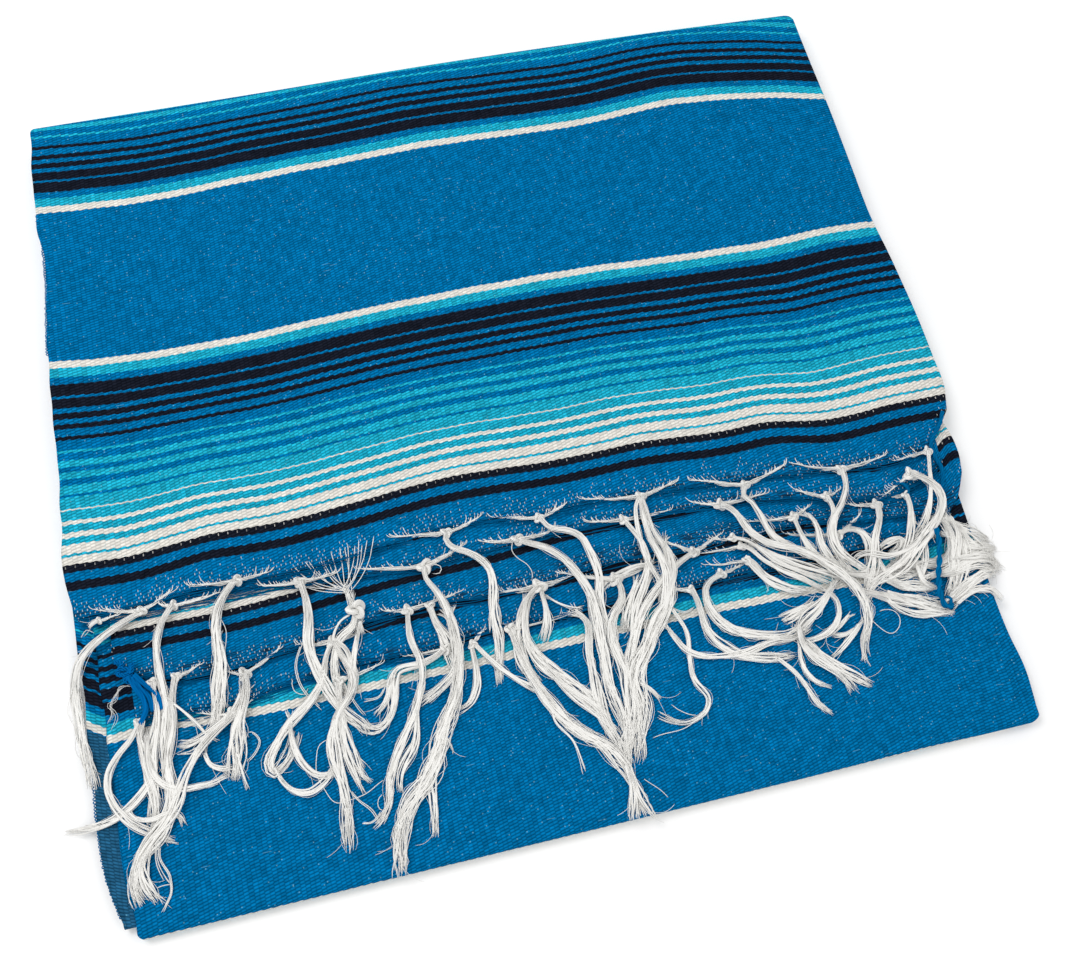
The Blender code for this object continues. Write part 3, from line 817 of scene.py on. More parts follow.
@dataclass(frozen=True)
class StripeLines:
    """Where three white stripes lie on the first layer; the others follow between them."""

    places: tuple[float, ...] = (0.0461, 0.1977, 0.3393)   # of those stripes, from the woven end
    lines: tuple[Table, ...] = (
        Table((-0.330, -0.295, -0.235, -0.190, -0.120, -0.060, 0.040,
               0.110, 0.165, 0.205, 0.262, 0.315, 0.362),
              (-0.0588, -0.0604, -0.0556, -0.0570, -0.0523, -0.0478, -0.0505,
               -0.0497, -0.0535, -0.0526, -0.0606, -0.0580, -0.0580)),
        Table((-0.330, -0.265, -0.190, -0.110, -0.030, 0.065, 0.140, 0.190, 0.250, 0.315, 0.345),
              (0.0985, 0.0932, 0.0944, 0.0978, 0.1008, 0.1019, 0.1012, 0.0996, 0.0985, 0.1024, 0.1018)),
        Table((-0.330, -0.255, -0.175, -0.095, -0.030, 0.060, 0.130, 0.220, 0.260, 0.305, 0.350),
              (0.2348, 0.2307, 0.2341, 0.2394, 0.2440, 0.2440, 0.2436, 0.2494, 0.2464, 0.2402, 0.2312)))

    def at(self, x: Array, y: Array) -> Array:
        """Metres from the woven end: in proportion between two stripes, by plain distance beyond.

        Args:
            x: Places across the cloth.
            y: And along it.

        Returns:
            Metres for each.
        """
        first, second, third = self.places
        low, middle, high = (line.read(x) for line in self.lines)
        near = first + (second - first) * (y - low) / (middle - low)
        far = second + (third - second) * (y - middle) / (high - middle)
        along = np.where(y < low, first + y - low, near)
        along = np.where(y > middle, far, along)
        return np.where(y > high, third + y - high, along)


def looseness(x: Array, past: Array, knots: tuple[float, ...]) -> Array:
    """How much of the warp shows.

    It falls from 5 mm to 20 mm inside the woven edge, and away from the knots,
    whose pull opens the weave: fade · (0.14 + 0.66 · highest bell of a knot).

    Args:
        x: Places across the cloth.
        past: Distance of each from the woven edge.
        knots: X of the knots.

    Returns:
        A share from 0 to 1 for each place.
    """
    pull = np.max([np.exp(-((x - knot) / (34 * MM)) ** 2) for knot in knots], axis=0)
    return (1 - smooth(past, 5 * MM, 20 * MM)) * (0.14 + 0.66 * pull)


def declare(item: Object, size: float, rests_on: tuple[str, ...], nodes: list[str],
            pieces: tuple[Object, ...] = ()) -> Object:
    """Tie a cloth piece to the frame, and hide the solids that it stands for.

    Args:
        item: The piece.
        size: Area of what shows of it, laid flat; not used.
        rests_on: What it lies on; not used.
        nodes: Solids that it stands for.
        pieces: Its fringe and loose threads; not used.

    Returns:
        The same piece.
    """
    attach(item, "root")
    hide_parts(*nodes)
    list(rests_on)
    list(pieces)
    return item


def roll_down(left: Array, right: Array, radius: float, last: Array | float,
              columns: int, turns: int) -> tuple[Array, Array, Array]:
    """Lay a cloth's rows level from the left, and turn them down at the right-hand side.

    At angle a round the roll a point lies at edge + R sin a, and R (1 − cos a)
    lower, where edge is the right-hand side less R.

    Args:
        left: X of each row's left end, rows × 1.
        right: X of each row's right-hand side, rows × 1.
        radius: Radius of the roll.
        last: Angle at which it ends, for all rows or for each.
        columns: Places over the level part.
        turns: Places round the roll.

    Returns:
        X as if laid flat, x where it lies, and how far it is turned down, each rows × places.
    """
    edge = right - radius
    across = np.linspace(0, 1, columns)[None, :]
    roll = np.linspace(0, 1, turns + 1)[None, 1:] * last
    unrolled = np.concatenate([left + (edge - left) * across, edge + radius * roll], axis=1)
    angle = np.maximum(unrolled - edge, 0.0) / radius
    return unrolled, np.minimum(unrolled, edge) + radius * np.sin(angle), radius * (1 - np.cos(angle))


@dataclass(frozen=True)
class Fold:
    """Rows of a cloth that lies level, turns through half a round and is tucked in below."""

    rows: int
    turns: int                       # rows round the fold
    radius: float
    tuck: float                      # how far the last row lies back under the cloth
    sense: int                       # 1 for a fold at the far side, −1 at the front

    @property
    def share(self) -> Array:
        """0 to 1 over the level part, 1 to 2 round the fold and 3 at the tuck, rows × 1."""
        level, fold = np.linspace(0, 1, self.rows), np.linspace(1, 2, self.turns + 1)[1:]
        return np.concatenate([level, fold, [3.0]])[:, None]

    @property
    def flat(self) -> Array:
        """How far over the level part each row lies, from 0 to 1."""
        return np.clip(self.share, 0, 1)

    @property
    def turn(self) -> Array:
        """Angle of each row round the fold."""
        return np.clip(self.share - 1, 0, 1) * np.pi

    @property
    def beyond(self) -> Array:
        """Metres of cloth from the fold's start to each row."""
        return self.radius * self.turn + self.tuck * (self.share > 2)

    def wrap(self, level: tuple[Array, Array], axis: Array | float, middle: float,
             sink: Array) -> tuple[Array, Array]:
        """Take the rows past the level part round the fold: axis ± R sin a, middle + R cos a.

        Args:
            level: Y and height of the level part, rows × places.
            axis: Y of the fold's axis.
            middle: And its height.
            sink: How far each point lies inside the face.

        Returns:
            Y and height of each point.
        """
        out_y, out_z = self.sense * np.sin(self.turn), np.cos(self.turn)
        folded, tucked = self.turn > 0, self.share > 2
        y = np.where(folded, axis + self.radius * out_y - self.sense * self.tuck * tucked, level[0])
        z = np.where(folded, middle + self.radius * out_z, level[1])
        return y - out_y * sink, z - out_z * sink


class Layer:
    """A layer of cloth: its grid is made a closed wall, the piece is tied to the frame and its solid hidden.
    """

    under: ClassVar[tuple[str, ...]]             # what it lies on
    step: ClassVar[int] = 1                      # −1 if its grid's columns run clockwise

    def build(self, material: Material) -> Object:
        """Make the cloth, tie it to the frame and hide its solid.

        Args:
            material: Its finish.

        Returns:
            The new object.
        """
        outer, weave, loose = self.grid()
        skin = Skin(self.name)
        skin.shell(outer[:, ::self.step], weave[:, ::self.step], loose)
        return declare(skin.build(material), area(outer), self.under, [self.node], self.pieces)


@dataclass
class TopCloth(Layer):
    """First layer: from its woven end over the top, round the far fold and under."""

    under = ("hidden_folds", "second_cloth")
    knots: tuple[float, ...]
    pieces: tuple[Object, ...]
    name: str = "top_cloth"
    node: str = "top_layer"
    columns: int = 178
    roll_columns: int = 9
    roll_radius: float = 4.5 * MM
    roll_turn: float = np.radians(160)
    left_front: float = -0.098       # y at which the left side's curve starts
    right_front: float = -0.074      # and the right side's
    back: float = 0.310              # y at which both end
    fold: Fold = Fold(142, 22, PILE.far_radius, PILE.tuck, 1)
    stripes: StripeLines = StripeLines()

    def grid(self) -> tuple[Array, Array, Array]:
        """Points, weave coordinates and looseness.

        A point at x and unrolled y lies at height top(x, y) up to the far axis;
        past it, at angle (y − axis) / R round the fold. The right-hand side
        turns down about the roll's axis.

        Returns:
            Points × 3, weave coordinates × 2 and looseness, each for rows × columns.
        """
        flat = self.fold.flat
        guess = self.left_front + (self.back - self.left_front) * flat
        left = PILE.top_left.read(guess) + 0.5 * MM * Ripple(13, 0.05).at(guess, guess)
        right = PILE.top_right.read(self.right_front + (self.back - self.right_front) * flat)
        draw = PILE.far_corner * np.sin(self.fold.turn) ** 3
        unrolled, x, sink = roll_down(left + draw, right - draw, self.roll_radius, self.roll_turn,
                                      self.columns, self.roll_columns)
        axis = PILE.far_axis(unrolled)
        start = PILE.first_end.read(unrolled) + 0.5 * MM * Ripple(14, 0.02).at(unrolled, 0 * unrolled)
        y = start + (axis - start) * flat
        height = PILE.top(unrolled, y) + PILE.creases(unrolled, y)
        height = height + (PILE.height - height) * smooth(flat, 0.93, 1.0)
        place_y, place_z = self.fold.wrap((y, height), axis, PILE.far_radius, sink)
        along = self.stripes.at(unrolled, y) + self.fold.beyond
        loose = looseness(unrolled, y - start, self.knots)
        return np.stack([x, place_y, place_z], axis=-1), np.stack([unrolled, along], axis=-1), loose


@dataclass
class LayerEnd(Layer):
    """The end of a lower layer, from its woven edge back under the layer above."""

    under = ("lower_cloth", "hidden_folds")
    layer: int
    name: str
    node: str
    end: Table
    left: Table                      # x of its left selvage, by y
    right: Table                     # x of its right-hand fold, by y
    knots: tuple[float, ...]
    pieces: tuple[Object, ...]
    line: Table | None = None        # y of the second black stripe, by x; parallel to the edge if None
    stretch: Table = Table((-0.35, 0.36), (1.0, 1.0))
    puff: float = 0.0                # how far the right-hand fold stands up
    roll_radius: float = 1.95 * MM
    roll_turn: float = np.radians(165)
    black: float = 27.35 * MM        # that stripe's distance from the woven end
    columns: int = 170
    rows: int = 34
    roll_columns: int = 8

    def grid(self) -> tuple[Array, Array, Array]:
        """Points, weave coordinates and looseness.

        The upper side follows the pile's swell at the layer's height, and the
        right-hand side turns down about its roll.

        Returns:
            Points × 3, weave coordinates × 2 and looseness, each for rows × columns.
        """
        share = np.linspace(0, 1, self.rows)[:, None]
        back = PILE.butt - PILE.gap
        corner = float(self.end.read(np.array(self.end.keys[-1])))
        side = corner + (back - corner) * share
        right = self.right.read(side)
        unrolled, x, sink = roll_down(self.left.read(side), right, self.roll_radius + 0.5 * self.puff,
                                      self.roll_turn, self.columns, self.roll_columns)
        start = self.end.read(x) + 0.5 * MM * Ripple(70 + self.layer, 0.02).at(x, 0 * x)
        y = start + (back - start) * share
        waves = PILE.waves(self.layer, x, y, self.end)
        rise = self.puff * smooth(x, right - 30 * MM, right - 8 * MM)
        top = PILE.upper(self.layer) + PILE.swell(x, y) + waves + rise
        along = y - start
        if self.line is not None:
            along = self.black + (y - self.line.read(x)) * self.stretch.read(x)
        along = along + 0.7 * MM * Ripple(30 + self.layer, 0.22).at(x, 0 * x)
        loose = looseness(x, y - start, self.knots)
        return np.stack([x, y, top - sink], axis=-1), np.stack([unrolled, along], axis=-1), loose


@dataclass
class FrontFold(Layer):
    """A layer that comes forward from the hidden stack, turns round its front fold and runs under."""

    under = ("hidden_folds", "floor")
    step = -1
    name: str
    node: str
    layer: int
    front: float
    radius: float
    left: Table
    right: Table
    near: Table                      # metres along the cloth at the front fold, by x
    far: Table                       # and reckoned to there from the stripes at the back
    roll_radius: float
    corner: float
    pieces: tuple[Object, ...] = ()
    columns: int = 190
    rows: int = 100
    roll_columns: int = 7
    fold_rows: int = 16
    roll_turns: tuple[float, float] = (np.radians(160), np.radians(80))   # at the back and at the fold
    groove: Table = Table((-0.3263, -0.3150, -0.3060, -0.2840, -0.2710),
                          (0.3372, 0.3408, 0.3422, 0.3416, 0.3436))

    def creases(self, x: Array, y: Array) -> Array:
        """Soft unevenness, and a groove that deepens by the right-hand fold towards the front."""
        broad = 0.30 * MM * Ripple(40 + self.layer, 0.11).at(x, y)
        middle = self.groove.read(y)
        deep = smooth(-y, 0.235, 0.30)
        ridge = 0.5 * MM * hump(x, middle - 5 * MM, 4 * MM)
        return broad + deep * (ridge - 2.2 * MM * hump(x, middle, 2.6 * MM))

    def grid(self) -> tuple[Array, Array, None]:
        """Points and weave coordinates, and nothing for looseness, as no woven end shows.

        Level up to the fold's axis, then round the fold; the right-hand side
        turns down about its own axis, and less so near the fold.

        Returns:
            Points × 3 and weave coordinates × 2, each for rows × columns, and None.
        """
        top, axis = PILE.upper(self.layer), self.front + self.radius
        tuck = PILE.tuck * self.radius / PILE.front_radius
        fold = Fold(self.rows, self.fold_rows, self.radius, tuck, -1)
        start = PILE.butt - PILE.gap
        y = start + (axis - start) * fold.flat
        draw = self.corner * np.sin(fold.turn) ** 3
        left, right = self.left.read(y) + draw, self.right.read(y) - draw
        left = left + 0.5 * MM * Ripple(45 + self.layer, 0.04).at(left, y)
        back_turn, front_turn = self.roll_turns
        last = back_turn + (front_turn - back_turn) * smooth(fold.flat, 0.80, 0.97)
        unrolled, x, sink = roll_down(left, right, self.roll_radius, last, self.columns, self.roll_columns)
        y = y + 0 * x
        fade = 1 - smooth(fold.flat, 0.955, 1.0)
        height = top + PILE.swell(unrolled, y) + self.creases(unrolled, y) * fade
        place_y, place_z = fold.wrap((y, height), axis, top - self.radius, sink)
        back = smooth(y, -0.30, -0.20)
        chart = self.near.read(unrolled) * (1 - back) + self.far.read(unrolled) * back
        along = chart + (y - axis) + np.pi / 2 * self.radius - fold.beyond
        return np.stack([x, place_y, place_z], axis=-1), np.stack([unrolled, along], axis=-1), None


@dataclass
class HiddenFolds:
    """The hidden layers: a bottom sheet, the selvages at the left and the folds at the right."""

    name: str = "hidden_folds"
    inset: float = 24 * MM                   # how far the edges reach under the first layer
    bottom_front: float = -0.3055
    along_front: float = 1.0407              # metres along the cloth at the bottom sheet's front
    along_far: float = 0.462                 # and where it meets the first layer
    loops: tuple[tuple[float, float], ...] = (       # heights of each pair of layers at the far fold
        (2.6 * MM, 22.3 * MM), (5.8 * MM, 19.2 * MM), (9.0 * MM, 16.0 * MM))
    sides: tuple[float, ...] = (2.0 * MM, 4.2 * MM, 2.6 * MM)    # how far each selvage stands in
    folds: tuple[float, ...] = (1.5 * MM, 3.5 * MM)              # and each fold
    middle: tuple[tuple[float, float], ...] = (      # heights of the pair that turns at the right,
        (8.1 * MM, 13.6 * MM), (9.65 * MM, 13.85 * MM))          # at the far fold and at the front
    middle_radius: tuple[float, float] = (1.9 * MM, 2.6 * MM)    # of its fold, at the front and behind
    low: tuple[float, float] = (3.6 * MM, 2.7 * MM)              # height of the lowest fold, likewise
    low_radius: tuple[float, float] = (3.5 * MM, 2.6 * MM)
    low_back: float = 14 * MM                        # how far it stops short of the far fold's axis
    lift: tuple[float, float] = (-0.05, 0.06)        # y over which the stack rises to its full height

    def bottom(self, skin: Skin) -> float:
        """The lowest layer, from its front to the far fold.

        Args:
            skin: Mesh that takes it.

        Returns:
            Its area.
        """
        x = np.linspace(0, 1, 24)[None, :]
        share = np.linspace(0, 1, 24)[:, None]
        y = self.bottom_front + (PILE.far_axis(0.0 * x) - 0.013 - self.bottom_front) * share + 0 * x
        left = np.where(y < PILE.butt, PILE.inner_left.read(y), PILE.top_left.read(y)) + 3.5 * MM
        right = PILE.low_right.read(y) - 5.5 * MM
        z = PILE.cloth + 0 * y
        outer = np.stack([left + (right - left) * x, y, z], axis=-1)
        along = self.along_front + (self.along_far - self.along_front) * share + 0 * y
        skin.shell(outer, np.stack([outer[..., 0], along], axis=-1))
        return area(outer)

    def loop(self, heights: tuple[float, float], front: tuple[float, float]) -> Array:
        """A section through two layers that turn into each other in the far fold.

        It follows the lower one back, goes round at half their spacing, and
        comes forward as the upper one; both come closer towards the front.

        Args:
            heights: Of the lower and the upper one at the far fold.
            front: And at the front, where they butt against the layers that show.

        Returns:
            Points × 2: y and z.
        """
        back = float(PILE.far_axis(np.array(-0.33)))
        flat = np.linspace(0, 1, 60)
        turn = np.linspace(0, np.pi, 17)
        radius, middle = (heights[1] - heights[0]) / 2, (heights[1] + heights[0]) / 2
        y = PILE.butt + (back - PILE.butt) * flat
        rise = smooth(y, *self.lift)
        sides = [low + (high - low) * rise for low, high in zip(front, heights)]
        arc = np.stack([back + radius * np.sin(turn), middle - radius * np.cos(turn)], axis=-1)[1:-1]
        lower, upper = np.stack([y, sides[0]], axis=-1), np.stack([y, sides[1]], axis=-1)[::-1]
        return np.concatenate([lower, arc, upper])

    def selvage(self, skin: Skin, path: Array, number: int) -> float:
        """Left edges of two layers: a strip along their section.

        Args:
            skin: Mesh that takes it.
            path: Section through the two, points × 2.
            number: Which pair it is.

        Returns:
            Its area.
        """
        y, z = path[:, 0:1], path[:, 1:2]
        ripple = 0.8 * MM * Ripple(60 + number, 0.09).at(y, z)
        left = PILE.top_left.read(y) + self.sides[number] + ripple
        x = left + (-0.318 + self.inset - left) * np.linspace(0, 1, 7)[None, :]
        outer = np.stack([x, y + 0 * x, z + 0 * x], axis=-1)
        weave = np.stack([x, 0.05 + 0.20 * number + metres_along(path)[:, None] + 0 * x], axis=-1)
        skin.shell(outer[:, ::-1], weave[:, ::-1])
        return area(outer)

    def fold(self, skin: Skin, path: Array, radii: tuple[float, float], number: int) -> float:
        """A right-hand fold along a path: half a round of each place's own radius.

        Args:
            skin: Mesh that takes it.
            path: Middle of the fold, points × 2.
            radii: Its radius at the front and behind.
            number: Which fold it is.

        Returns:
            Its area.
        """
        y, z = path[:, 0:1], path[:, 1:2]
        radius = radii[0] + (radii[1] - radii[0]) * smooth(y, *self.lift)
        _, up = ways(path)
        ripple = 0.6 * MM * Ripple(80 + number, 0.12).at(y, z)
        right = PILE.low_right.read(y) - radius - self.folds[number] + ripple
        inward = np.array([-12.0, -8.0, -4.0])
        wide = np.concatenate([np.zeros(3), np.linspace(0, np.pi, 11), np.full(3, np.pi)])[None, :]
        level = -radius * np.cos(wide)
        x = right + radius * np.sin(wide) + np.concatenate([inward, np.zeros(11), inward[::-1]]) * MM
        outer = np.stack([x, y + up[:, 0:1] * level, z + up[:, 1:2] * level], axis=-1)
        across = 0.36 + np.concatenate([inward, np.linspace(0, 8, 11), 8 - inward[::-1]]) * MM
        along = 0.62 + 0.2 * number + metres_along(path)[:, None]
        weave = np.stack([across + 0 * x, along + 0 * x], axis=-1)
        skin.shell(outer[:, ::-1], weave[:, ::-1], thickness=1.5 * MM)
        return area(outer)

    def build(self, material: Material) -> Object:
        """Make all the hidden cloth as one piece.

        Args:
            material: Its finish.

        Returns:
            The new object.
        """
        skin = Skin(self.name)
        total = self.bottom(skin)
        for number, (low, high) in enumerate(self.loops):
            path = self.loop((low, high), (low, PILE.upper(number + 2)))
            total += self.selvage(skin, path, number)
        total += self.fold(skin, self.loop(*self.middle), self.middle_radius, 0)
        y = np.linspace(self.bottom_front, float(PILE.far_axis(np.array(0.33))) - self.low_back, 60)
        z = self.low[0] + (self.low[1] - self.low[0]) * smooth(y, *self.lift)
        total += self.fold(skin, np.stack([y, z], axis=-1), self.low_radius, 1)
        return declare(skin.build(material), total, ("floor",), ["hidden_layers"])


@dataclass
class Yarns:
    """A mesh of thin three-sided yarns."""

    name: str
    points: list[Array] = field(default_factory=list)
    faces: list[Array] = field(default_factory=list)
    caps: list[Array] = field(default_factory=list)
    tones: list[Array] = field(default_factory=list)
    count: int = 0

    def add(self, paths: Array, tone: Array, radius: Array | float, sides: int = 3) -> None:
        """Add yarns that have as many points each.

        A ring's corners lie at r (cos a · side + sin a · over) about a path
        point, side and over being across the path; both ends are capped.

        Args:
            paths: Centre lines, yarns × points × 3.
            tone: Lightness of each yarn, from 0 to 1.
            radius: Radius of all yarns, of each, or of each ring of each.
            sides: Corners of a ring.
        """
        yarns, rings = paths.shape[:2]
        ahead = unit(np.gradient(paths, axis=1))
        side = unit(np.cross(ahead, np.array([0.03, 0.02, 1.0])))
        over = np.cross(side, ahead)
        angle = np.radians(90) + 2 * np.pi * np.arange(sides) / sides
        taper = np.ones(rings)
        taper[-1] = 0.5
        radius = np.asarray(radius)
        radius = radius[:, None] if radius.ndim == 1 else radius
        size = (np.broadcast_to(radius, (yarns, rings)) * taper)[:, :, None, None]
        ring = np.cos(angle)[:, None] * side[:, :, None] + np.sin(angle)[:, None] * over[:, :, None]
        corners = paths[:, :, None] + size * ring
        index = np.arange(yarns * rings * sides).reshape(yarns, rings, sides) + self.count
        a, b = index[:, :-1], index[:, 1:]
        quads = np.stack([a, np.roll(a, -1, axis=2), np.roll(b, -1, axis=2), b], axis=-1)
        self.points.append(corners.reshape(-1, 3))
        self.faces.append(quads.reshape(-1, 4))
        self.caps += [*index[:, 0, ::-1], *index[:, -1]]
        self.tones.append(np.repeat(tone, rings * sides))
        self.count += yarns * rings * sides

    def build(self, material: Material, slot: Slot) -> Object:
        """Make the object and tie it to the frame.

        Args:
            material: Finish of the yarns.
            slot: Material slot of the record; not used.

        Returns:
            The new object.
        """
        faces = np.concatenate(self.faces).tolist() + [cap.tolist() for cap in self.caps]
        points, tones = np.concatenate(self.points), np.concatenate(self.tones)
        item = put(self.name, make_mesh(self.name, points, faces, material, "tone", tones))
        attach(item, "root")
        return item


@dataclass(frozen=True)
class Sight:
    """A line of sight down to the pile.

    The fringe's places are stated on one level plane, as they look from the
    eye; each slides along its line of sight to the height at which it rests.
    """

    eye: tuple[float, float, float] = EYE
    level: float = 18 * MM

    def slide(self, flat: Array, height: Array) -> Array:
        """Move places to their heights: p + (p − eye) · (level − height) / (eye height − level).

        Args:
            flat: Places as stated, points × 2.
            height: Height of each.

        Returns:
            The places at their heights, points × 2.
        """
        share = (self.level - height) / (self.eye[2] - self.level)
        return flat + (flat - np.array(self.eye[:2])) * share[:, None]


SIGHT = Sight()


def places(way: str) -> Array:
    """Places of a way that is written as "x forward, x forward, …" in millimetres; points × 2."""
    return np.array([pair.split() for pair in way.split(",")], float) * (MM, -MM)


def resample(points: Array, step: float) -> Array:
    """Points on a smooth curve through the given ones.

    Args:
        points: The given ones, points × 2.
        step: Metres from one to the next.

    Returns:
        Points × 2.
    """
    keys = metres_along(points)
    at = np.linspace(0.0, keys[-1], max(6, int(np.ceil(keys[-1] / step)) + 1))
    columns = [Table(tuple(keys), tuple(points[:, way])).read(at) for way in range(points.shape[1])]
    return np.stack(columns, axis=-1)


def drift_noise(rng: Rng, yarns: int, metres: Array, length: float) -> Array:
    """Seeded soft noise along each of several yarns: two sines a yarn, Σ sin(2π s / λ + φ) / √2.

    Args:
        rng: Seeded random numbers.
        yarns: How many there are.
        metres: Places along them.
        length: Length of a wave.

    Returns:
        Yarns × places.
    """
    total = np.zeros((yarns, len(metres)))
    for _ in range(2):
        wave = length * rng.uniform(0.7, 1.6, (yarns, 1))
        total = total + np.sin(2 * np.pi * metres[None, :] / wave + rng.uniform(0, 2 * np.pi, (yarns, 1)))
    return total / np.sqrt(2)


def resting(x: Array, y: Array, reach: float = 4 * MM) -> Array:
    """Height at which a lock rests: the highest cloth within reach, softened along the lock.

    Args:
        x: Places along the lock.
        y: And across them.
        reach: How far a place feels the cloth.

    Returns:
        Height at each place.
    """
    spots = [PILE.ground(x + dx, y + dy) for dx, dy in
             ((0, 0), (reach, 0), (-reach, 0), (0, reach), (0, -reach))]
    high = np.max(spots, axis=0)
    kernel = np.array([1, 2, 3, 4, 3, 2, 1], float)
    padded = np.pad(high, 3, mode="edge")
    soft = np.convolve(padded, kernel / kernel.sum(), mode="valid")
    return np.maximum(soft, spots[0])


@dataclass(frozen=True)
class Lock:
    """A lock of loose yarns: its way from the knot, and what it is like. Sizes in millimetres.

    A way is written as "x forward, x forward, …", forward being −y.
    """

    way: str
    width: float
    yarns: int
    lift: float
    radius: float = 0.42
    core: float = 0.66               # radius of the soft core that every few yarns share
    turn: ClassVar[float] = np.radians(137.5)        # from one yarn's place in a bundle to the next
    twist: ClassVar[float] = 55 * MM                 # length over which a bundle turns by a radian
    bands: ClassVar[int] = 3                         # yarns that go together in a band

    def line(self, step: float) -> tuple[Array, Array, Array]:
        """Its middle line, slid to its height.

        Args:
            step: Metres from one point to the next.

        Returns:
            Points × 2, and metres and heights along them.
        """
        stated = resample(places(self.way), step)
        line = stated
        share = np.linspace(0, 1, len(line))
        lift = self.lift * MM * (1 - 0.75 * smooth(share, 0.55, 1.0))
        for _ in range(5):
            height = resting(line[:, 0], line[:, 1]) + 0.5 * MM + lift
            line = SIGHT.slide(stated, height)
        return line, metres_along(line), height

    def roots(self, rng: Rng) -> Array:
        """Warps that come out of the cloth and gather into the lock's start.

        Each bends from a place behind the start, by way of the start, to one
        ahead of it.

        Args:
            rng: Seeded random numbers.

        Returns:
            Yarns × points × 3.
        """
        line, _, height = self.line(3 * MM)
        ahead, side = (way[0] for way in ways(line))
        count = max(4, int(0.8 * self.yarns))
        back, on = rng.uniform(2, 8, (count, 1)) * MM, rng.uniform(2, 6, (count, 1)) * MM
        away = rng.uniform(-1, 1, (count, 1)) * (2.5 + 0.6 * self.width) * MM
        behind = line[0] - back * ahead + away * side
        near = line[0] + 0.35 * away * side
        goal = line[0] + on * ahead + 0.25 * away * side
        t = np.linspace(0, 1, 8)[None, :]
        flat = bend(behind[:, None], near[:, None], goal[:, None], t[:, :, None])
        low = PILE.ground(flat[..., 0], flat[..., 1]) + 0.3 * MM
        z = low + np.maximum(height[0] - low, 0) * smooth(t, 0.1, 1.0)
        z[:, 0] -= 0.6 * MM
        return np.concatenate([flat, z[..., None]], axis=-1)

    def build(self, rng: Rng, tied: bool, yarns: Yarns) -> None:
        """Add the lock's yarns, and the soft cores of its bands.

        Each yarn has a place in a round bundle (r = √(i / n), turned by 137.5°
        from one to the next). The bundle is tight at the knot; further on it
        opens flat, and its yarns go in bands of about three, each about a soft
        core, wander and end unevenly. A few thin fibres stray from it.

        Args:
            rng: Seeded random numbers.
            tied: Whether it starts at a knot; if not, its yarns start unevenly.
            yarns: Mesh that takes them.
        """
        line, metres, height = self.line(np.interp(self.yarns, (4, 12), (2.8, 4.7)) * MM)
        share = metres / metres[-1]
        ahead, side = ways(line)
        count = max(1, int(round(self.yarns * 1.1))) if self.yarns > 2 else self.yarns
        stray = 4 if self.yarns > 4 else 0
        total = count + stray
        spin = self.turn * np.arange(total) + metres[:, None] / self.twist * rng.uniform(-1, 1)
        reach = np.sqrt((np.arange(total) + 0.5) / count)
        disc_x, disc_z = (reach * np.cos(spin)).T, (reach * np.sin(spin)).T
        tight = 1.1 * self.radius * MM * np.sqrt(count) * (count > 1)
        wide = np.maximum(0.60 * self.width * MM, tight)
        open_up = smooth(metres, 4 * MM, 26 * MM) * (0.35 + 0.65 * smooth(share, 0.1, 0.6))
        half = tight + (wide - tight) * open_up + rng.uniform(-0.5, 0.2) * wide * smooth(share, 0.75, 1.0)
        rank = np.argsort(np.argsort(disc_x[:, -1]))
        groups = max(1, total // self.bands)
        band = np.eye(groups)[rank * groups // total]
        shared = band @ drift_noise(rng, groups, metres, 0.055)
        own = drift_noise(rng, total, metres, 0.028)
        free = np.where(np.arange(total) >= count, 3.6, 1.0)[:, None]
        together = disc_x * half + 0.30 * shared * wide * open_up
        wander = 0.12 * own * free * wide * open_up
        if count == 1:
            wander = 0.6 * MM * own * smooth(share, 0, 0.2)
        ends = smooth(share, 0.82, 1.0) * rng.normal(0, 0.9 * MM, (total, 1)) * (count > 1)
        offset = together + wander + ends
        place = line[None, :, :] + offset[:, :, None] * side[None, :, :]
        flatten = 1 - 0.72 * open_up
        stack = (disc_z + 1.0) * tight * flatten
        own_ground = PILE.ground(place[..., 0], place[..., 1]) + 0.4 * MM
        over = np.maximum(height[None, :], own_ground) + stack + 0.35 * MM * free * own * (count > 1)
        paths = np.concatenate([place, np.maximum(over, own_ground)[:, :, None]], axis=-1)
        radius = self.radius * MM * np.where(np.arange(total) < count, rng.uniform(0.85, 1.1, total), 0.5)
        ragged = 0.0 if tied else min(0.25, 11 * MM / metres[-1])
        yarns.add(self.trim(rng, paths, ragged), rng.uniform(0, 1, total), radius)
        if self.yarns > 3:
            mean = band.T / band.sum(axis=0)[:, None]
            place = line[None] + (mean @ together)[:, :, None] * side[None]
            low = np.maximum(height, PILE.ground(place[..., 0], place[..., 1])) + self.core * MM
            middle = np.concatenate([place, (low + 0.55 * mean @ stack)[:, :, None]], axis=-1)
            radius = self.core * MM * (1 - 0.75 * smooth(share, 0.60, 0.95))
            yarns.add(self.trim(rng, middle, ragged), rng.uniform(0.2, 0.8, groups),
                      np.broadcast_to(radius, (groups, len(line))), 4)
            wisps = self.wisps(rng, line, ahead, height)
            yarns.add(wisps, rng.uniform(0, 1, len(wisps)), 0.20 * MM)

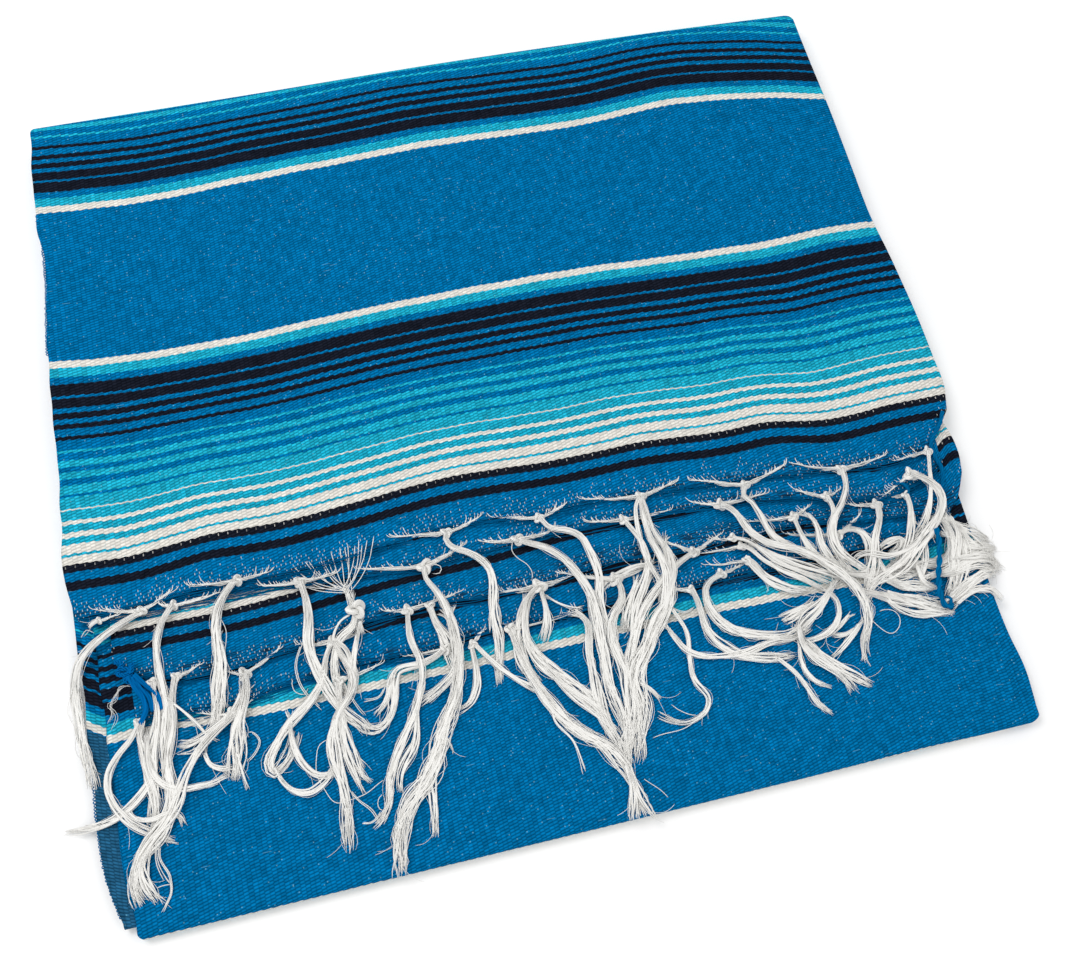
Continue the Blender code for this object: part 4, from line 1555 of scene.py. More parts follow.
    def wisps(self, rng: Rng, line: Array, ahead: Array,
              height: Array) -> Array:
        """Fine fibres that leave the lock and curl: each turns steadily, by up to 90 radians a metre.

        Args:
            rng: Seeded random numbers.
            line: Middle line of the lock.
            ahead: Its direction at each point.
            height: Its height at each point.

        Returns:
            Fibres × points × 3.
        """
        count, points = self.yarns // 5 + 1, 12
        start = rng.integers(2, len(line) - 2, count)
        heading = np.arctan2(ahead[start, 1], ahead[start, 0]) + rng.uniform(-0.6, 0.6, count)
        step = rng.uniform(10, 26, (count, 1)) / points * MM
        gone = step * np.arange(points)[None, :]
        angle = heading[:, None] + rng.uniform(-90, 90, (count, 1)) * gone
        x = line[start, :1] + np.cumsum(np.cos(angle), axis=1) * step
        y = line[start, 1:] + np.cumsum(np.sin(angle), axis=1) * step
        fall = height[start][:, None] + 0.8 * MM - 0.12 * gone
        return np.stack([x, y, np.maximum(PILE.ground(x, y) + 0.4 * MM, fall)], axis=-1)

    @staticmethod
    def trim(rng: Rng, paths: Array, ragged: float) -> Array:
        """Shorten each yarn by its own small shares at both ends, keeping as many points.

        Args:
            rng: Seeded random numbers.
            paths: Yarns × points × 3.
            ragged: Largest share that goes at the start.

        Returns:
            Yarns × points × 3.
        """
        yarns, rings = paths.shape[:2]
        ends = 1 - np.abs(rng.normal(0, 0.055, (yarns, 1)))
        starts = ragged * rng.uniform(0, 1, (yarns, 1))
        at = (starts + (ends - starts) * np.linspace(0, 1, rings)[None, :]) * (rings - 1)
        low = np.clip(at.astype(int), 0, rings - 2)
        part = (at - low)[:, :, None]
        pick = np.arange(yarns)[:, None]
        return paths[pick, low] * (1 - part) + paths[pick, low + 1] * part


def locks(rows: str) -> tuple[Lock, ...]:
    """Read locks that are written as "width yarns lift: x forward, x forward, …", with ";" between them.

    Args:
        rows: The locks, in the order in which they are made; a yarn's radius may follow the lift.

    Returns:
        The same locks.
    """
    made = []
    for row in rows.split(";"):
        sizes, way = row.split(":")
        width, yarns, *rest = sizes.split()
        made.append(Lock(way, float(width), int(yarns), *map(float, rest)))
    return tuple(made)


@dataclass(frozen=True)
class Knot:
    """A knot, with the wings of warp yarns that it gathers from the woven edge. Millimetres."""

    x: float
    y: float
    left: tuple[float, float] | None
    right: tuple[float, float] | None
    size: float
    warps: int

    def centre(self) -> Array:
        """Its middle, slid to its height.

        Returns:
            X, y and z.
        """
        stated = np.array([[self.x, self.y]]) * MM
        place = stated
        for _ in range(5):
            height = PILE.ground(place[:, 0], place[:, 1]) + (0.75 * self.size + 0.9) * MM
            place = SIGHT.slide(stated, height)
        return np.append(place[0], height)

    def ball(self, rng: Rng) -> tuple[Array, Array]:
        """Strands side by side along a trefoil: a (sin t + 2 sin 2t, cos t − 2 cos 2t, −sin 3t).

        Args:
            rng: Seeded random numbers.

        Returns:
            Points of the strands, strands × points × 3, and their tones.
        """
        strands = 7 + int(self.size / 6.0) * 6
        t = np.linspace(0, 2 * np.pi, 31)
        x, y = np.sin(t) + 2 * np.sin(2 * t), np.cos(t) - 2 * np.cos(2 * t)
        core = np.stack([0.25 * x, 0.29 * y, -0.30 * np.sin(3 * t)], axis=-1) * self.size * MM
        out = unit(core * (1.0, 1.0, 0.0))
        angle = 2 * np.pi * np.arange(strands)[:, None] / strands + 1.5 * t[None, :] + rng.uniform(0, 6)
        thick = 0.27 * self.size * MM * rng.uniform(0.7, 1.1, (strands, 1))
        place = core[None] + (thick * np.cos(angle))[:, :, None] * out[None]
        place[:, :, 2] += thick * np.sin(angle)
        turn = rng.uniform(0, 2 * np.pi)
        spin = np.array([[np.cos(turn), -np.sin(turn), 0], [np.sin(turn), np.cos(turn), 0], [0, 0, 1]])
        return place @ spin.T + self.centre(), rng.uniform(0.3, 1.0, strands)

    def wing(self, rng: Rng, tip: tuple[float, float], layer: int) -> Array:
        """Warp yarns from the woven edge to the knot.

        All of them run along one line from the knot to the wing's tip, in a
        bundle that is thick at the knot and thin at the tip. Each leaves it at
        its own place, outwards and then up into the cloth, as a lash does.

        Args:
            rng: Seeded random numbers.
            tip: Outer end of the wing.
            layer: Layer that the edge belongs to.

        Returns:
            Yarns × points × 3.
        """
        count = self.warps
        top = PILE.upper(layer)
        knot = self.centre()
        stated = np.array([tip]) * MM
        far = SIGHT.slide(stated, np.array([top + 0.5 * MM]))[0]
        out = np.sign(far[0] - knot[0])
        place = 1 - 0.9 * (np.arange(count)[:, None] + rng.uniform(-0.3, 0.3, (count, 1))) / count
        share = place * (1 - np.linspace(0, 1, 10)[None, :])
        thick = (0.32 + 0.24 * self.size * (1 - share)) * MM
        bow = rng.uniform(0.2, 1.0, (count, 1)) * MM
        x = knot[0] + (far[0] - knot[0]) * share
        y = knot[1] + (far[1] - knot[1]) * share - bow * np.sin(np.pi * share)
        y = y + rng.uniform(-1, 1, (count, 1)) * thick
        y = y + 0.35 * MM * drift_noise(rng, count, np.linspace(0, 0.03, 10), 0.02)
        long = np.where(rng.uniform(size=(count, 1)) < 0.2, 1.8, 1.0) * MM
        start_x = x[:, :1] + out * rng.uniform(1.5, 4.5, (count, 1)) * long
        start_y = y[:, :1] + rng.uniform(1.5, 4.8, (count, 1)) * long
        t = np.linspace(0, 0.8, 5)[None, :]
        bend_x, bend_y = 0.25 * x[:, :1] + 0.75 * start_x, 0.85 * y[:, :1] + 0.15 * start_y
        x = np.concatenate([bend(start_x, bend_x, x[:, :1], t), x], axis=1)
        y = np.concatenate([bend(start_y, bend_y, y[:, :1], t), y], axis=1)
        rise = smooth(np.linspace(0, 1, x.shape[1])[None, :], 0.35, 1.0)
        low = np.maximum(PILE.ground(x, y), top - 0.6 * MM) + 0.35 * MM
        layer_up = rng.uniform(0.0, 0.3 * self.size, (count, 1)) * MM
        z = low + (knot[2] - low) * rise ** 2 + layer_up * np.sqrt(rise)
        z[:, 0] -= 0.8 * MM
        return np.stack([x, y, z], axis=-1)


@dataclass(frozen=True)
class Gather:
    """A big knot that many separate warps fan down to, with a neck above it. Millimetres."""

    fan: tuple[float, float] = (-186, -118)       # x of its outer warps at the edge
    edge: float = -94.0
    neck: tuple[float, float] = (-144, -123)
    middle: tuple[float, float] = (-139.5, -138)
    size: float = 7.2
    warps: int = 19

    def build(self, rng: Rng, yarns: Yarns) -> None:
        """Add the fan, the neck and the knot.

        Args:
            rng: Seeded random numbers.
            yarns: Mesh that takes them.
        """
        top = PILE.upper(2) + 2.5 * MM
        start_x = np.linspace(*self.fan, self.warps) + rng.normal(0, 1.2, self.warps)
        start_y = self.edge + rng.uniform(-2, 7, self.warps) + 0.24 * (start_x - self.neck[0])
        goal = np.array(self.neck) + rng.normal(0, 1.2, (self.warps, 2))
        by_y = goal[:, 1] + 0.30 * (start_y - goal[:, 1]) + rng.normal(0, 2, self.warps)
        by = np.stack([0.70 * start_x + 0.30 * goal[:, 0], by_y], axis=-1)
        start = np.stack([start_x, start_y], axis=-1)
        flat = bend(start[:, None], by[:, None], goal[:, None], np.linspace(0, 1, 14)[None, :, None])
        down = np.array(self.middle) + rng.normal(0, 1.8, (self.warps, 1, 2))
        more = goal[:, None] + (down - goal[:, None]) * np.linspace(0.15, 1, 7)[None, :, None]
        flat = np.concatenate([flat, more], axis=1) * MM
        low = PILE.ground(flat[..., 0], flat[..., 1]) + 0.5 * MM
        rise = smooth(np.linspace(0, 1, flat.shape[1])[None, :], 0.1, 0.6)
        spread = rng.uniform(-0.4, 2.6, (self.warps, 1)) * MM
        z = np.maximum(low, low + (top - low) * rise + spread * rise)
        z[:, 0] -= 1.0 * MM
        yarns.add(np.concatenate([flat, z[..., None]], axis=-1), rng.uniform(0.2, 1, self.warps), 0.42 * MM)
        loops, tone = Knot(*self.middle, None, None, self.size, 0).ball(rng)
        yarns.add(loops, tone, 0.62 * MM)


@dataclass(frozen=True)
class FringeRow:
    """One fringe: its knots with their wings, and its locks."""

    number: int
    end: Table
    threads: tuple[float, float]     # x of the ends of its edge's loose threads
    knots: tuple[Knot, ...]
    locks: tuple[Lock, ...]
    gathers: tuple[Gather, ...] = ()

    def knots_x(self) -> tuple[float, ...]:
        """X of the knots."""
        return (*(knot.x * MM for knot in self.knots), *(one.neck[0] * MM for one in self.gathers))

    def tied(self, lock: Lock) -> bool:
        """Whether a lock is tied.

        Args:
            lock: The lock.

        Returns:
            True if it starts within 8 mm of a knot.
        """
        spots = [(knot.x, knot.y) for knot in self.knots] + [one.middle for one in self.gathers]
        away = np.linalg.norm(np.array(spots) * MM - places(lock.way)[0], axis=1)
        return bool(away.min() < 8 * MM)

    def build(self, material: Material) -> Object:
        """Make the fringe as one piece.

        Args:
            material: Finish of its yarns.

        Returns:
            The new object.
        """
        rng = np.random.default_rng(100 + self.number)
        yarns = Yarns(f"fringe_{self.number}")
        for knot in self.knots:
            for tip in (knot.left, knot.right):
                if tip is not None:
                    wing = knot.wing(rng, tip, self.number)
                    yarns.add(wing, rng.uniform(0, 1, len(wing)), rng.uniform(0.30, 0.42, len(wing)) * MM)
            loops, tone = knot.ball(rng)
            yarns.add(loops, tone, 0.50 * MM)
        for gather in self.gathers:
            gather.build(rng, yarns)
        for lock in self.locks:
            tied = self.tied(lock)
            lock.build(rng, tied, yarns)
            if not tied and lock.yarns > 3:
                roots = lock.roots(rng)
                yarns.add(roots, rng.uniform(0, 1, len(roots)), 0.38 * MM)
        item = yarns.build(material, Slot.FRINGE)
        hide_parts(f"fringe_row_{self.number}")
        return item


@dataclass
class EdgeThreads:
    """Loose wefts along a layer's woven edge, where the weave has slipped."""

    layer: int
    end: Table
    left: float
    right: float
    rows: int = 8
    step: float = 3 * MM

    def build(self, material: Material) -> Object:
        """Make the threads.

        Thread k lies 0.85 k − 1.5 mm beyond the edge, wanders along it and sags
        towards the cloth below; each runs on for a few centimetres.

        Args:
            material: Finish of the threads.

        Returns:
            The new object.
        """
        rng = np.random.default_rng(300 + self.layer)
        yarns = Yarns(f"edge_threads_{self.layer}")
        points = int((self.right - self.left) / self.step)
        x = np.linspace(self.left, self.right, points)
        edge = self.end.read(x)
        top = PILE.upper(self.layer)
        for row in range(self.rows):
            away = (0.85 * row - 1.5) * MM + 0.6 * MM * drift_noise(rng, 1, x, 0.05)[0]
            y = edge - away
            over = PILE.ground(x, y) + 0.35 * MM
            sag = top + 0.5 * MM - np.maximum(away, 0.0) + 0.25 * MM * drift_noise(rng, 1, x, 0.03)[0]
            path = np.stack([x, y, np.maximum(over, sag)], axis=-1)
            cuts = np.sort(rng.integers(4, points - 4, 8))
            for piece in np.split(path, cuts):
                if len(piece) > 5 and rng.uniform() < 0.95 - 0.05 * row:
                    yarns.add(piece[None], rng.uniform(0, 1, 1), 0.42 * MM)
        return yarns.build(material, Slot.CLOTH)


@dataclass
class SelvageLoops:
    """Small loops in which the wefts turn, along the left selvage of a plain band."""

    name: str
    side: Table                      # x of the selvage, by y
    y_range: tuple[float, float]
    height: float                    # of the selvage's middle
    pitch: float = 2.33 * MM

    def build(self, material: Material) -> Object:
        """Make the loops: half rounds (x − r sin a, y − r cos a), each of its own size and lean.

        Args:
            material: Finish of the loops.

        Returns:
            The new object.
        """
        rng = np.random.default_rng(500)
        y = np.arange(*self.y_range, self.pitch)[:, None]
        count = len(y)
        turn = np.linspace(0, np.pi, 7)[None, :]
        reach = rng.uniform(0.7, 1.8, (count, 1)) * MM
        x = self.side.read(y) + 0.4 * MM - reach * np.sin(turn)
        loops_y = y - 0.40 * self.pitch * np.cos(turn)
        z = self.height + PILE.swell(x, loops_y) + rng.uniform(-0.4, 0.5, (count, 1)) * MM * np.sin(turn)
        yarns = Yarns(self.name)
        yarns.add(np.stack([x, loops_y, z], axis=-1), rng.uniform(0, 1, count), 0.42 * MM, 5)
        return yarns.build(material, Slot.CLOTH)


@dataclass(frozen=True)
class Rope:
    """Strands twisted together along a way, which is written as a lock's is. Sizes in millimetres."""

    way: str
    lift: float
    strands: int
    radius: float                    # from the middle to a strand's own middle
    strand: float                    # radius of a strand
    pitch: float                     # length of one turn

    def paths(self) -> Array:
        """Centre lines: centre + r (cos a · side + sin a · up), a = 2π (s / pitch + k / n).

        Returns:
            Strands × points × 3.
        """
        line, metres, height = Lock(self.way, 1, 1, self.lift).line(1.6 * MM)
        _, side = ways(line)
        share = np.arange(self.strands)[:, None] / self.strands
        angle = 2 * np.pi * (metres[None, :] / (self.pitch * MM) + share)
        radius = self.radius * MM
        place = line[None] + radius * np.cos(angle)[:, :, None] * side[None]
        z = height[None] + self.strand * MM + radius * (1 + np.sin(angle))
        return np.concatenate([place, z[:, :, None]], axis=-1)


@dataclass
class LooseBlue:
    """Loose blue ends of yarn, as one piece."""

    name: str
    ropes: tuple[Rope, ...]

    def build(self, material: Material) -> Object:
        """Make them.

        Args:
            material: Finish of the yarns.

        Returns:
            The new object.
        """
        yarns = Yarns(self.name)
        for rope in self.ropes:
            yarns.add(rope.paths(), np.linspace(0, 1, rope.strands), rope.strand * MM, 7)
        return yarns.build(material, Slot.CLOTH)


# A tuft at the left: a tangle and three soft rovings that hang from it.
TUFT = LooseBlue("blue_tuft", (
    Rope("-306 152, -303 160, -298 170, -297 178, -302 188", 3.4, 4, 1.0, 1.05, 60),
    Rope("-303 153, -299 162, -294 170, -292 181", 3.0, 3, 0.9, 1.05, 60),
    Rope("-302 152, -294 162, -288 170, -286 181", 2.8, 3, 0.9, 1.05, 60),
    Rope("-314 140, -309 142, -313 149, -305 150, -302 144, -308 155, -303 153", 1.6, 4, 1.4, 0.65, 9),
    Rope("-310 146, -303 148, -307 156, -301 158", 2.4, 3, 1.2, 0.60, 8)))
# A twisted tail at the right, and the curled corner and loops of the first layer.
TAIL = LooseBlue("blue_tail", (
    Rope("316 170, 315 179, 311 192, 304 209, 301 224, 302 231, 306 232, 307 227, 303 225",
         7.0, 2, 1.05, 1.35, 17),
    Rope("296 128, 301 128, 305 133, 303 140", 1.0, 3, 0.7, 0.7, 12),
    Rope("356 76, 350 86, 342 94, 336 103, 336 112, 338 122, 335 134, 330 140, 326 136",
         0.3, 3, 0.9, 0.9, 15)))
ROW_1 = FringeRow(1, PILE.first_end, (-0.337, 0.330), (
    Knot(-322, -107, None, (-306, -104.5), 2.7, 6),
    Knot(-291.4, -106.4, (-323, -98.5), (-268.6, -96.4), 3.9, 16),
    Knot(-268.6, -107, (-276, -104.5), (-233.6, -104), 3.7, 12),
    Knot(-221.4, -98, (-256.4, -94.3), (-197.9, -95.7), 4.4, 16),
    Knot(-176.4, -108.6, (-205, -105), (-148, -106.4), 4.6, 16),
    Knot(-62, -93.6, (-104, -88), (-35, -86.4), 4.6, 18),
    Knot(10, -96.4, (-24, -88.6), (32, -90), 4.1, 16),
    Knot(92, -95.7, (46, -88), (125, -88), 4.6, 18),
    Knot(176.5, -103.5, (135, -90.4), (213, -93.5), 4.4, 18),
    Knot(257, -106.5, (222.7, -95), (296.5, -102), 4.4, 18),
    Knot(332.7, -105.8, (302, -108), None, 4.1, 12),
), locks("""
4 6 0.5: -322 107, -325 108, -329 111;
6.5 16 1.5: -291 107, -321 120, -331 127, -338 136, -342 147, -344 160, -342 186, -340 226;
0.8 1 1: -336 118, -331 112, -325 116;
6 14 2.5: -269 107, -278 118, -282 127, -284 182, -289 210, -288 248;
2.5 4 4.5: -283 172, -263 197, -257 207, -250 212;
7.5 18 2.5: -222 98, -232 108, -237 116, -240 126, -244 167, -251 194, -257 206;
2.5 4 2.5: -240 135, -238 150, -245 192;
0.8 1 3: -237 122, -235 133, -236 145, -240 152;
7 18 3.5: -176 109, -174 124, -178 162, -176 173, -157 216, -151 224, -149 231;
1.6 2 2: -180 150, -190 173, -189 182, -176 206;
0.8 1 2: -189 175, -194 181, -194 188, -187 192, -182 186;
5 10 3: -142 130, -141 140, -143 148, -156 158, -160 167, -163 188, -160 198;
4 8 3.5: -139 148, -152 190, -154 201;
2.5 4 4: -145 141, -152 144, -157 150, -162 170;
2.5 5 3: -139 147, -138 158;
5 12 2.5: -62 94, -64 98, -62 104, -48 114, -41 120, -36 129, -36 138, -40 157, -42 183, -48 216;
1.8 3 2: -38 148, -36 158, -40 182;
1.5 3 2: -41 155, -45 168, -46 176;
5 12 2.5: 10 96, 16 106, 31 112, 38 118, 41 127, 44 148, 40 170, 40 184, 42 216;
2.8 5 4: 90 97, 86 103, 84 112, 84 149, 88 166, 84 182;
5 11 4.5: 91 97, 90 106, 90 128, 95 150, 94 166, 88 182, 76 198, 62 218;
5 12 4: 92 97, 95 128, 102 145, 103 155, 97 170, 88 188, 70 210, 56 230;
11 20 3: 99 134, 100 150, 97 166, 91 180, 77 193, 62 218, 53 232, 50 245, 50 258, 46 270, 35 292;
5.5 12 4: 176 104, 172 113, 177 118, 180 126, 186 148, 194 157, 228 182, 238 193, 243 205;
5.5 12 5: 257 107, 256 121, 251 130, 236 149, 233 160, 235 172, 243 183, 262 203;
3.5 7 7: 333 106, 318 150, 311 161, 290 179"""), (Gather(),))
ROW_2 = FringeRow(2, PILE.second_end, (-0.335, 0.341), (
    Knot(-83.6, -116.4, (-133.6, -107), (-50.7, -105), 6.1, 18),
    Knot(-10, -110, (-37, -106), (19, -108.6), 4.9, 16),
    Knot(74, -111.4, (46, -107), (112, -111), 4.1, 14),
    Knot(152, -115, (133, -109), (192, -112.7), 4.9, 14),
    Knot(237.3, -125.8, (215.8, -115), (250, -122.7), 3.9, 12),
    Knot(275.8, -140.4, (253.5, -135.8), None, 4.6, 10),
    Knot(312, -122, (279, -137), None, 6.1, 12),
), locks("""
5.5 12 4.5: -84 117, -85 123, -77 141, -72 164, -71 176, -73 188, -78 198, -88 206, -109 218;
11 26 3: -74 155, -73 186, -76 201, -81 214, -96 242, -113 269, -134 292, -139 304, -144 331;
5 9 2: -101 249, -111 275, -112 288, -117 310;
2 4 2: -90 232, -94 243, -92 252, -92 257;
0.8 1 2: -82 116, -76 116, -72 120, -74 123, -79 122;
7 16 3.5: -8 112, 15 126, 27 143, 34 160, 34 186, 31 228, 35 268, 30 294;
0.8 1 2.5: -14 110, -16 117, -13 124, -8 131, -6 138, -8 146;
5 11 3: 74 112, 84 137, 84 147, 80 156, 69 173, 50 229;
6.5 14 5: 152 116, 157 118, 162 124, 169 142, 177 150, 211 169, 222 179, 231 190, 238 202, 241 215, 239 228,
    228 250, 229 263;
3.5 6 3: 236 226, 219 240, 201 250;
2 3 3: 232 238, 228 249, 225 258;
3 5 3: 226 221, 215 228, 204 233;
4 8 3.5: 238 126, 240 133, 231 160, 232 172, 236 184, 243 194;
7 15 5: 276 140, 275 149, 266 167, 258 188, 243 207;
8 18 7: 312 122, 324 131, 329 138, 330 147, 326 156, 319 164, 297 181, 284 190, 247 207, 240 216;
3 5 7.5: 305 172, 296 178, 285 182, 273 183, 253 177, 246 179, 242 184"""))
ROW_3 = FringeRow(3, PILE.third_end, (-0.296, 0.335), (
    Knot(-290.7, -160, None, None, 4.1, 6),
    Knot(-273.6, -159.3, None, (-257, -154.6), 3.7, 10),
    Knot(-226.4, -167.9, (-238, -163), (-200, -155), 4.9, 14),
    Knot(-161, -158, (-185, -155), (-140, -155), 4.4, 12),
    Knot(-102.9, -146.4, (-119, -143), (-62, -140.7), 4.4, 14),
    Knot(-86, -147, None, None, 3.7, 6),
    Knot(-3, -149.3, (-35, -147), (25, -146), 6.1, 16),
    Knot(56, -156, (16, -142), (85, -151), 5.4, 26),
    Knot(121.4, -148, (100.7, -133.6), (145, -138), 4.4, 14),
    Knot(206.5, -136.5, (169.6, -132.7), (221, -131), 4.1, 14),
    Knot(302, -138, (288, -136), None, 3.7, 8),
), locks("""
6 12 2: -290 160, -290 183, -297 209, -301 252, -304 264;
8 18 2.5: -274 160, -279 178, -280 190, -287 216, -289 243, -292 254, -299 264, -318 284, -321 296,
    -317 309;
10 22 3.5: -226 168, -226 176, -229 187, -238 207, -242 231, -245 241;
8 16 2.5: -229 180, -236 191, -247 200, -259 207, -271 210, -280 209;
3 5 2.5: -262 216, -259 226, -251 231, -243 231;
2 3 2: -235 212, -228 210, -223 217, -228 226, -236 231;
2 4 2: -240 222, -236 249;
5.5 12 2.5: -103 147, -105 166, -101 187, -102 198, -106 209, -134 254, -140 266, -142 278, -148 288,
    -157 294;
4.5 9 2: -110 216, -116 241, -130 262, -134 275;
8 16 1.5: -86 148, -85 157, -78 180, -77 194, -79 208;
6 12 2.5: -161 158, -166 166, -174 186, -204 213, -213 223, -220 235, -218 242, -209 236, -201 226,
    -196 216;
7 15 2.5: -160 158, -152 192, -158 202, -166 210, -171 221, -172 266, -175 307;
4 8 3: -158 158, -152 166, -150 178, -151 190, -157 200;
8 18 3: -4 150, -12 156, -17 164, -20 175, -21 187, -18 198, 12 237, 26 275;
7 14 2: -14 156, -22 168, -26 181, -26 208, -21 222;
5 10 3.5: -2 153, -2 173, -9 192;
2.5 4 2: 0 157, 7 164, 16 170, 27 173;
6 12 2.5: 86 151, 76 150, 56 154, 47 158, 42 163;
8 18 2: 56 156, 58 165, 56 174, 50 180, 44 188, 42 200, 45 228, 44 242, 42 256, 31 284, 29 297;
6.5 15 2.5: 121 148, 104 156, 86 169, 77 177, 61 198, 50 222, 47 235, 48 262;
6 10 1.5: 72 160, 62 176, 53 197;
5 8 1.5: 84 158, 76 168, 68 177;
4.5 9 3: 206 137, 212 166, 219 177, 229 187;
4.5 9 3.5: 216 135, 221 142, 222 164, 226 176, 234 187;
5.5 12 4: 302 138, 302 147, 299 158, 287 180, 277 190, 264 198;
1.5 2 7: 319 163, 323 174, 323 185, 316 193, 307 196, 297 190, 295 183, 292 190;
3.5 8 4: 306 164, 300 192, 290 211, 291 217;
8 18 4: 317 160, 323 163, 326 174, 325 187, 321 201, 308 227;
7 14 3: 328 160, 332 170, 334 182, 333 195, 327 207, 318 219, 308 229"""))
